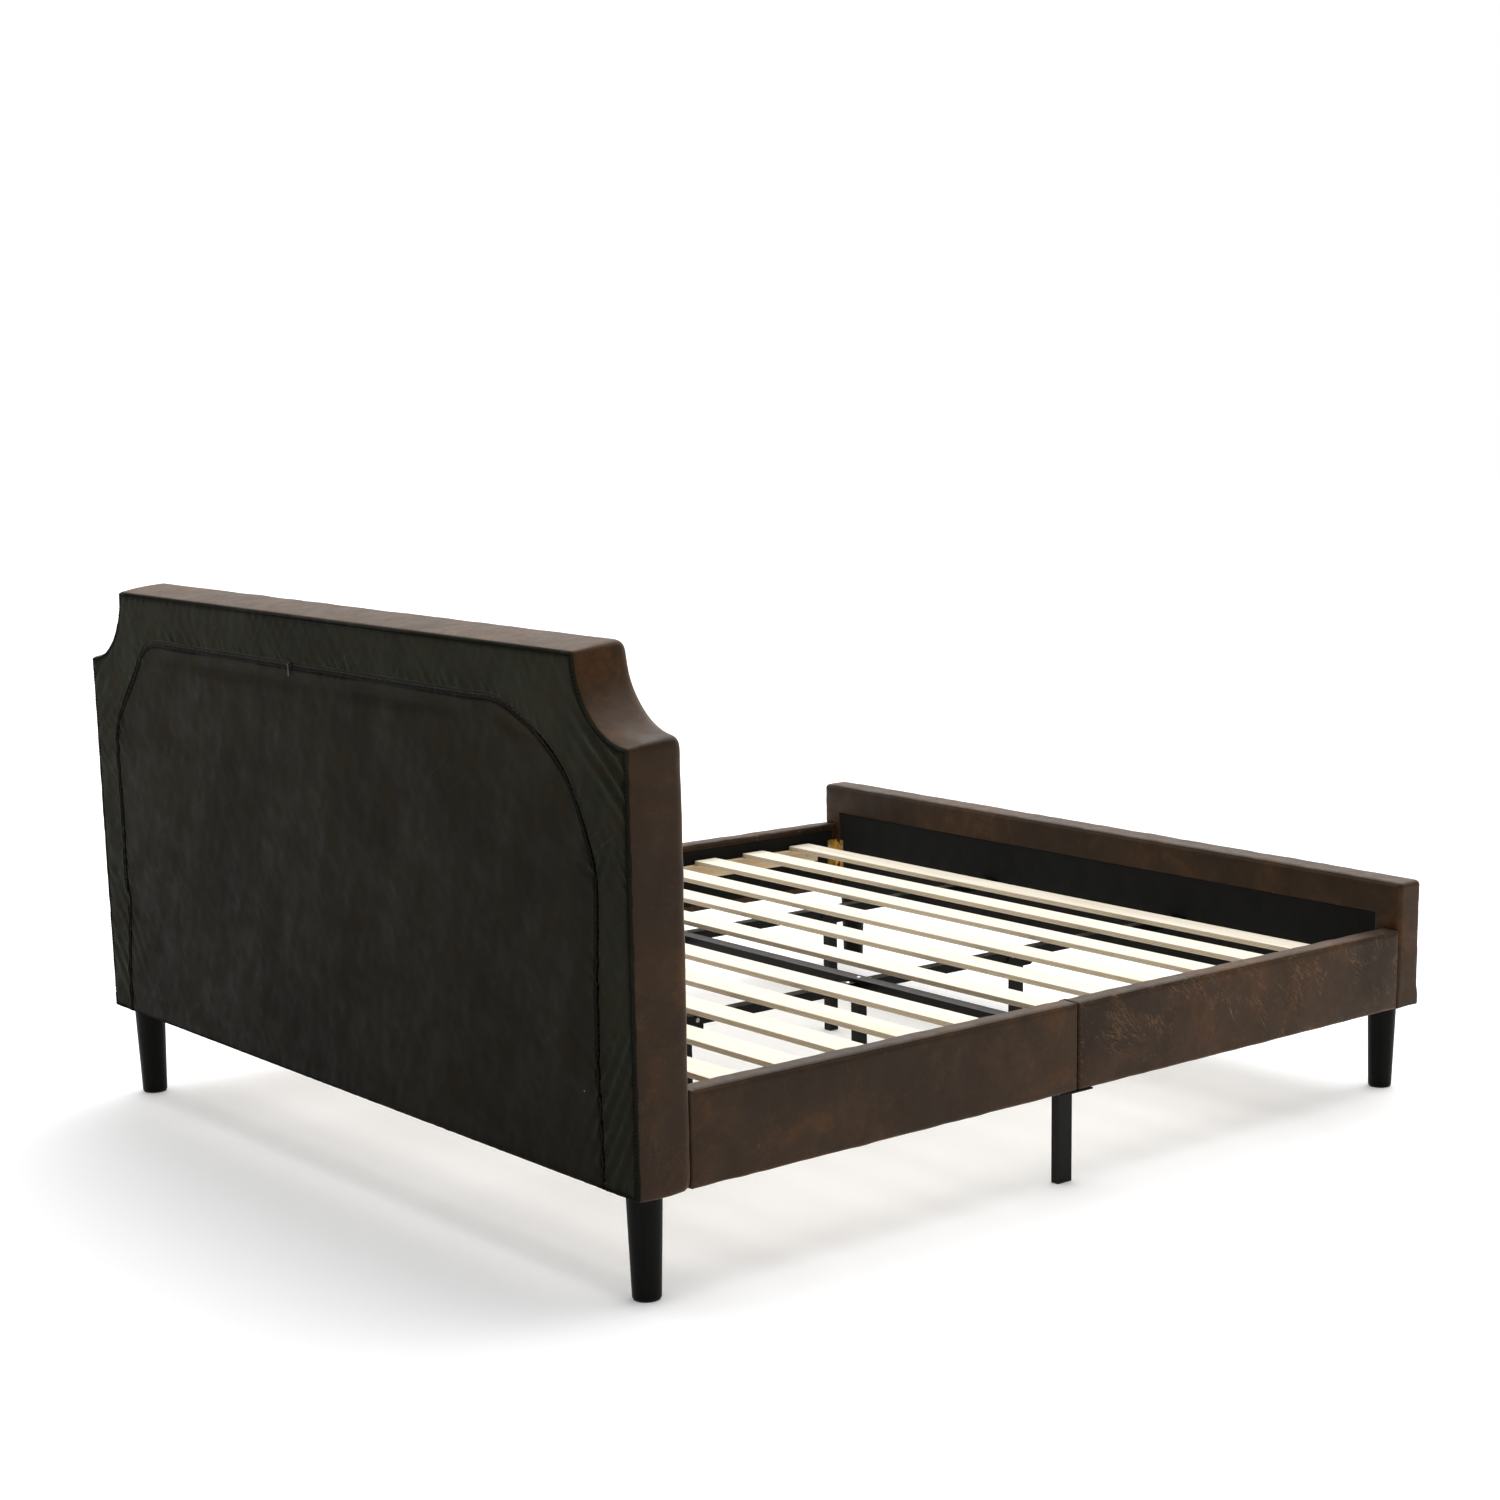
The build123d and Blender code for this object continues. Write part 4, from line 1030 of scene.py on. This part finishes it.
def makeSlats(finish):
    edge = slatSet["edgeRound"]
    for number in range(1, slatSet["count"] + 1):
        low, high = boxOf(f"slat_{number:02d}")
        points, faces = boxSkin(*(gridLine(low[a], high[a], slatSet["steps"][a], edge) for a in range(3)))
        shaped, _ = roundOff(points, low, high, edge)
        chance = np.random.default_rng(slatSet["seed"] + number)
        across = shaped[:, 0] / high[0]
        shaped[:, 2] -= slatSet["bow"] * chance.uniform(0.5, 1.6) * (1 - across**2)
        shaped[:, 1] += slatSet["skew"] * chance.uniform(-1, 1) * across
        shaped[:, 1] += slatSet["bend"] * waves(across[:, None], 1.4, number)
        piece = makePiece(f"deckSlat.{number:02d}", shaped, faces, finish, "slat_wood")
        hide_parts(f"slat_{number:02d}")


legSet = {
    "sides": 80,
    "taper": 27.5 / 34,      # of the foot's width to the top's
    "footRound": 0.0016,
    "topRound": (0.0004, 0.0006),
    "topInset": 0.0015,
}


def makeLegs(finish):
    turn = np.linspace(0, 2 * math.pi, legSet["sides"], endpoint=False)
    for name in ("head_left", "head_right", "foot_left", "foot_right"):
        low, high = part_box(f"corner_leg_{name}")
        top = (high.x - low.x) / 2
        bottom = top * legSet["taper"]
        soft, (inward, down) = legSet["footRound"], legSet["topRound"]
        profile = [(bottom - soft, low.z), (bottom - soft * 0.4, low.z + soft * 0.25), (bottom, low.z + soft)]
        for share in np.linspace(0.03, 0.985, 16):
            profile.append((bottom + (top - bottom) * share, low.z + (high.z - low.z) * share))
        profile += [(top - inward, high.z - down), (top - legSet["topInset"], high.z)]
        centre = (low + high) / 2
        points = [(centre.x + radius * math.cos(a), centre.y + radius * math.sin(a), height)
                  for radius, height in profile for a in turn]
        faces = tubeFaces(len(profile), legSet["sides"])
        piece = makePiece(f"taperedLeg.{name}", points, faces, finish, "black_lacquered_wood")
        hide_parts(f"corner_leg_{name}")


screwSet = {
    # a pan head from its rim to the shank, as (radius, rise above the seat)
    "profile": ((0.0005, 0.0020), (0.0010, 0.0020), (0.0016, 0.00195), (0.0024, 0.0018), (0.0034, 0.0014),
                (0.0043, 0.0009), (0.0049, 0.0004), (0.0050, 0.0), (0.0025, 0.0), (0.0025, -0.006)),
    "sides": 24,
    "crossRows": 5,
    "crossHalf": 0.00045,
    "crossReach": 0.0027,
    "crossDeep": 0.0011,
    "underHead": 0.004,      # points further out than this belong to the head
}


def islandsOf(mesh):
    # the points of each separate part of a mesh
    work = bmesh.new()
    work.from_mesh(mesh)
    bmesh.ops.remove_doubles(work, verts=work.verts, dist=1e-6)
    seen, islands = set(), []
    for vertex in work.verts:
        if vertex.index in seen:
            continue
        stack, group = [vertex], []
        seen.add(vertex.index)
        while stack:
            v = stack.pop()
            group.append(v.co.copy())
            for edge in v.link_edges:
                other = edge.other_vert(v)
                if other.index not in seen:
                    seen.add(other.index)
                    stack.append(other)
        islands.append(np.array(group))
    work.free()
    return islands


def makeScrews(finish):
    # a pan head with a cross in it, wherever the frame has a screw
    profile, sides = screwSet["profile"], screwSet["sides"]
    points, faces = [], []
    for group in islandsOf(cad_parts["bracket_screws"].data):
        low, high = group.min(0), group.max(0)
        size, centre = high - low, (low + high) / 2
        axis = int(np.argmax(np.abs(size - np.median(size))))
        others = [a for a in range(3) if a != axis]
        wide = np.linalg.norm(group[:, others] - centre[others], axis=1) > screwSet["underHead"]
        outer = group[wide][:, axis]
        headUp = outer.mean() > centre[axis]
        out, u = np.zeros(3), np.zeros(3)
        out[axis] = 1 if headUp else -1
        u[others[0]] = 1
        v = np.cross(out, u)
        origin = centre.copy()
        origin[axis] = outer.min() if headUp else outer.max()
        faces += [face[::-1] for face in tubeFaces(len(profile), sides, len(points))]
        for row, (radius, rise) in enumerate(profile):
            for k in range(sides):
                a = 2 * math.pi * k / sides
                px, py = radius * math.cos(a), radius * math.sin(a)
                inCross = row < screwSet["crossRows"] and radius < screwSet["crossReach"]
                cross = inCross and min(abs(px), abs(py)) < screwSet["crossHalf"]
                outward = rise - (screwSet["crossDeep"] if cross else 0)
                points.append(origin + u * px + v * py + out * outward)
    piece = makePiece("panHeadScrews", points, faces, finish, "bright_steel")
    turnOutward(piece)
    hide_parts("bracket_screws")


# ---- zip slider and pull

def softBox(low, high, radius, steps=3):
    low, high = np.array(low), np.array(high)
    lines = [np.unique(np.round(np.concatenate([
        np.linspace(low[a], low[a] + radius, steps), np.linspace(low[a] + radius, high[a] - radius, steps),
        np.linspace(high[a] - radius, high[a], steps)]), 7)) for a in range(3)]
    points, faces = boxSkin(*lines)
    return roundOff(points, low, high, radius)[0], faces


def joinShapes(shapes):
    points, faces = [], []
    for shape, own in shapes:
        faces += [tuple(i + len(points) for i in f) for f in own]
        points += list(shape)
    return points, faces


sliderSet = {
    "plate": 0.0014,         # thickness of its two plates
    "plateRound": 0.0006,
    "above": 0.0023,         # the outer plate's face, off the headboard's back
    "tail": (0.62, 0.38, 0.75, 0.35),   # its outline, narrow at the tail and wide at the mouth
    "neck": (0.0045, 0.00035),          # length and half width of what joins the plates
    "ear": (0.0003, 0.0017),            # from the pull's side to the ear's inner and outer face
    "earHalf": 0.0016,
    "pin": 0.0008,
    "pinSides": 20,
}


def makeSlider(finish):
    low, high = np.array(sliderLow), np.array(sliderHigh)
    middle = (low + high) / 2
    face, plate, edgeRound = boardBack + sliderSet["above"], sliderSet["plate"], sliderSet["plateRound"]
    rear, rearFaces = softBox((low[0], face - plate, low[2]), (high[0], face, high[2]), edgeRound, 4)
    narrow, more, way, start = sliderSet["tail"]
    share = (rear[:, 0] - low[0]) / (high[0] - low[0])
    width = narrow + more * np.sin(share * math.pi * way + start)
    rear[:, 2] = middle[2] + (rear[:, 2] - middle[2]) * width
    neckLong, neckHalf = sliderSet["neck"]
    shapes = [(rear, rearFaces),
              softBox(low, (high[0], low[1] + plate, high[2]), edgeRound, 4),
              softBox((low[0], low[1] + 0.001, middle[2] - neckHalf),
                      (low[0] + neckLong, face, middle[2] + neckHalf), 0.0002)]
    earHalf, pin = sliderSet["earHalf"], sliderSet["pin"]
    for edge, way in ((pullLow.x, -1), (pullHigh.x, 1)):
        x0, x1 = sorted(edge + way * gap for gap in sliderSet["ear"])
        shapes.append(softBox((x0, face - 0.0003, middle[2] - earHalf),
                              (x1, high[1], middle[2] + earHalf), 0.0005))
    pinY = (pullLow.y + pullHigh.y) / 2
    turn = np.linspace(0, 2 * math.pi, sliderSet["pinSides"], endpoint=False)
    points = [(x, pinY + pin * math.cos(a), middle[2] + pin * math.sin(a))
              for x in (pullLow.x - 0.0005, pullHigh.x + 0.0005) for a in turn]
    shapes.append((points, tubeFaces(2, sliderSet["pinSides"])))
    piece = makePiece("zipSlider", *joinShapes(shapes), finish, "zip_metal", "zip_slider_body")
    turnOutward(piece)
    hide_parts("zip_slider")


pullSet = {
    "thick": 0.0016,
    "edgeRound": 0.0003,
    "edgeShrink": 0.90,
    "shoulders": ((0.82, 0.006), (0.95, 0.0018)),   # share of half its width, and how far below the pin
    "hole": 0.00085,
    "eye": 0.0022,
    "eyeSides": 24,
}


def makePull(finish):
    low, high = np.array(pullLow), np.array(pullHigh)
    pinY, pinZ = (low[1] + high[1]) / 2, zipLine
    halfWide, half, edgeRound = (high[0] - low[0]) / 2, pullSet["thick"] / 2, pullSet["edgeRound"]
    x0 = (low[0] + high[0]) / 2
    # the tab: an outline with round lower corners, given thickness
    outline = [(-math.cos(a) * halfWide, low[2] + halfWide * 0.8 * (1 - math.sin(a)))
               for a in np.linspace(0, math.pi, 17)]
    shoulders = pullSet["shoulders"]
    outline += [(halfWide * share, pinZ - down) for share, down in shoulders]
    outline += [(-halfWide * share, pinZ - down) for share, down in shoulders[::-1]]
    middle = np.mean(outline, axis=0)
    smaller = pullSet["edgeShrink"]
    layers = ((smaller, -half), (1.0, edgeRound - half), (1.0, half - edgeRound), (smaller, half))
    points = [(x0 + middle[0] + (x - middle[0]) * shrink, pinY + depth, middle[1] + (z - middle[1]) * shrink)
              for shrink, depth in layers for x, z in outline]
    # and the eye round the pin
    hole, eye, sides = pullSet["hole"], pullSet["eye"], pullSet["eyeSides"]
    turn = np.linspace(0, 2 * math.pi, sides, endpoint=False)
    ring, ringSides = [], []
    for k, (radius, x) in enumerate(((hole, low[0]), (eye, low[0]), (eye, high[0]), (hole, high[0]))):
        ring += [(x, pinY + radius * math.cos(a), pinZ + radius * math.sin(a)) for a in turn]
        ringSides += ringFaces(k * sides, (k + 1) % 4 * sides, sides)
    shapes = [(points, tubeFaces(4, len(outline))), (ring, ringSides)]
    piece = makePiece("zipPull", *joinShapes(shapes), finish, "zip_metal", "zip_pull_body")
    turnOutward(piece)
    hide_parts("zip_pull")


# ---- frame parts that keep their own shape

bevelSet = {"segments": 2, "angle": 40}   # degrees between faces, above which an edge is softened


def dress(nodes, finish, bevel=0.0):
    for name in nodes:
        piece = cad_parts[name]
        piece.data.materials.clear()
        piece.data.materials.append(finish)
        if bevel:
            soften = piece.modifiers.new("softEdges", "BEVEL")
            soften.width = bevel
            soften.segments = bevelSet["segments"]
            soften.limit_method = "ANGLE"
            soften.angle_limit = math.radians(bevelSet["angle"])


# ---- build

makeCamera()
makeWorld()
makeLights()
print("camera and light ready")

creasesFew = [(0.8, 110, 14, 0.66)]
creasesMany = [(0.75, 95, 11, 0.52), (1.05, 120, 15, 0.55), (0.35, 110, 17, 0.57)]
leather = leatherFinish("brownLeather", creasesFew, 1)
leatherHead = leatherFinish("brownLeatherHeadboard", [], 2)
leatherCreased = leatherFinish("brownLeatherCreased", creasesMany, 4)
borderCloth = backFinish("oliveCoatedCloth", (0.0135, 0.0135, 0.0078), (0.0270, 0.0268, 0.0160),
                         900, 0, 0.50, 0.66)
panelLeather = backFinish("charcoalLeather", (0.0100, 0.0088, 0.0046), (0.0225, 0.0198, 0.0108),
                          700, 0.90, 0.48, 0.64)
liningCloth = feltFinish("blackLining", (0.0045, 0.0045, 0.0035), (0.0150, 0.0150, 0.0115))
slatLow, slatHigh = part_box("slat_01")
birch = slatFinish(slatLow.z, slatHigh.z)
pineX = timberFinish("pineAlongX", (0.74, 0.57, 0.36), (0.56, 0.39, 0.21), 0)
pineY = timberFinish("pineAlongY", (0.83, 0.72, 0.53), (0.66, 0.50, 0.31), 1)
pineZ = timberFinish("pineAlongZ", (0.74, 0.57, 0.36), (0.56, 0.39, 0.21), 2)
plywood = timberFinish("plywood", (0.70, 0.54, 0.35), (0.55, 0.40, 0.24), 0, 7)
blackSteel = metalFinish("blackPaintedSteel", (0.0045, 0.0044, 0.0036), (0.0090, 0.0088, 0.0070),
                         0.0, 0.34, shine=0.2)
yellowZinc = metalFinish("yellowZinc", (0.78, 0.56, 0.20), (0.60, 0.44, 0.17), 1.0, 0.34,
                         300, (0.70, 0.62, 0.34))
brightSteel = metalFinish("brightSteel", (0.62, 0.61, 0.58), (0.44, 0.43, 0.40), 1.0, 0.30)
zipMetal = metalFinish("zipMetal", (0.035, 0.034, 0.030), (0.11, 0.105, 0.09), 0.8, 0.40)
lacquer = lacquerFinish("blackLacquer")
blackPlastic = plasticFinish("blackPlastic", (0.010, 0.010, 0.009), 0.5)
coilNylon = plasticFinish("coilNylon", (0.006, 0.006, 0.005), 0.42)
print("finishes ready")

makeHeadboardCover(leatherHead)
makeBackCloth(borderCloth, panelLeather, coilNylon)
print("headboard ready")

windows = [makeRail("right", "head", leather, 110), makeRail("right", "foot", leatherCreased, 120),
           makeRail("left", "head", leather, 130), makeRail("left", "foot", leatherCreased, 140)]
makeLinings(windows, liningCloth)
makeFootboard(leather, liningCloth)
print("rails and footboard ready")

makeSlats(birch)
makeLegs(lacquer)
makeScrews(brightSteel)
makeSlider(zipMetal)
makePull(zipMetal)
dress(["crossbar", "long_bars_head", "long_bars_foot", "center_legs", "side_legs", "center_leg_brackets",
       "long_bar_end_brackets", "rail_splice_plates"], blackSteel, 0.0007)
dress(["corner_brackets"], yellowZinc, 0.0005)
dress(["leg_bolts", "leg_nuts"], brightSteel)
dress(["leg_glides"], blackPlastic, 0.0005)
dress(["slat_ledges"], pineY, 0.0012)
dress(["headboard_bottom_rail", "headboard_top_rail", "headboard_scoop_blocks", "footboard_bottom_rail",
       "footboard_top_rail"], pineX, 0.0008)
dress(["headboard_posts", "headboard_stiffeners", "footboard_posts"], pineZ, 0.0008)
dress(railBoards, pineY)
dress(["headboard_front_panel", "footboard_outer_panel"], plywood)
print("deck, legs and hardware ready")


def makeFloor():
    line = np.linspace(-lightSet["floorSize"] / 2, lightSet["floorSize"] / 2, 24)
    mesh = bpy.data.meshes.new("floor")
    mesh.from_pydata([(x, y, 0.0) for x in line for y in line], [], gridFaces(len(line), len(line)))
    floor = bpy.data.objects.new("floor", mesh)
    scene.collection.objects.link(floor)
    finish, shader, place = newFinish("paleFloor")
    shade = cloud(place, 0.7, 3, 0.5)
    pale = lightSet["floorColour"]
    setShader(shader, blendColour(shade, pale, tinted(pale, 0.99)), 0.9, None,
              {"Specular IOR Level": 0.1, "Emission Color": (1, 1, 1, 1),
               "Emission Strength": lightSet["floorGlow"]})
    mesh.materials.append(finish)


makeFloor()
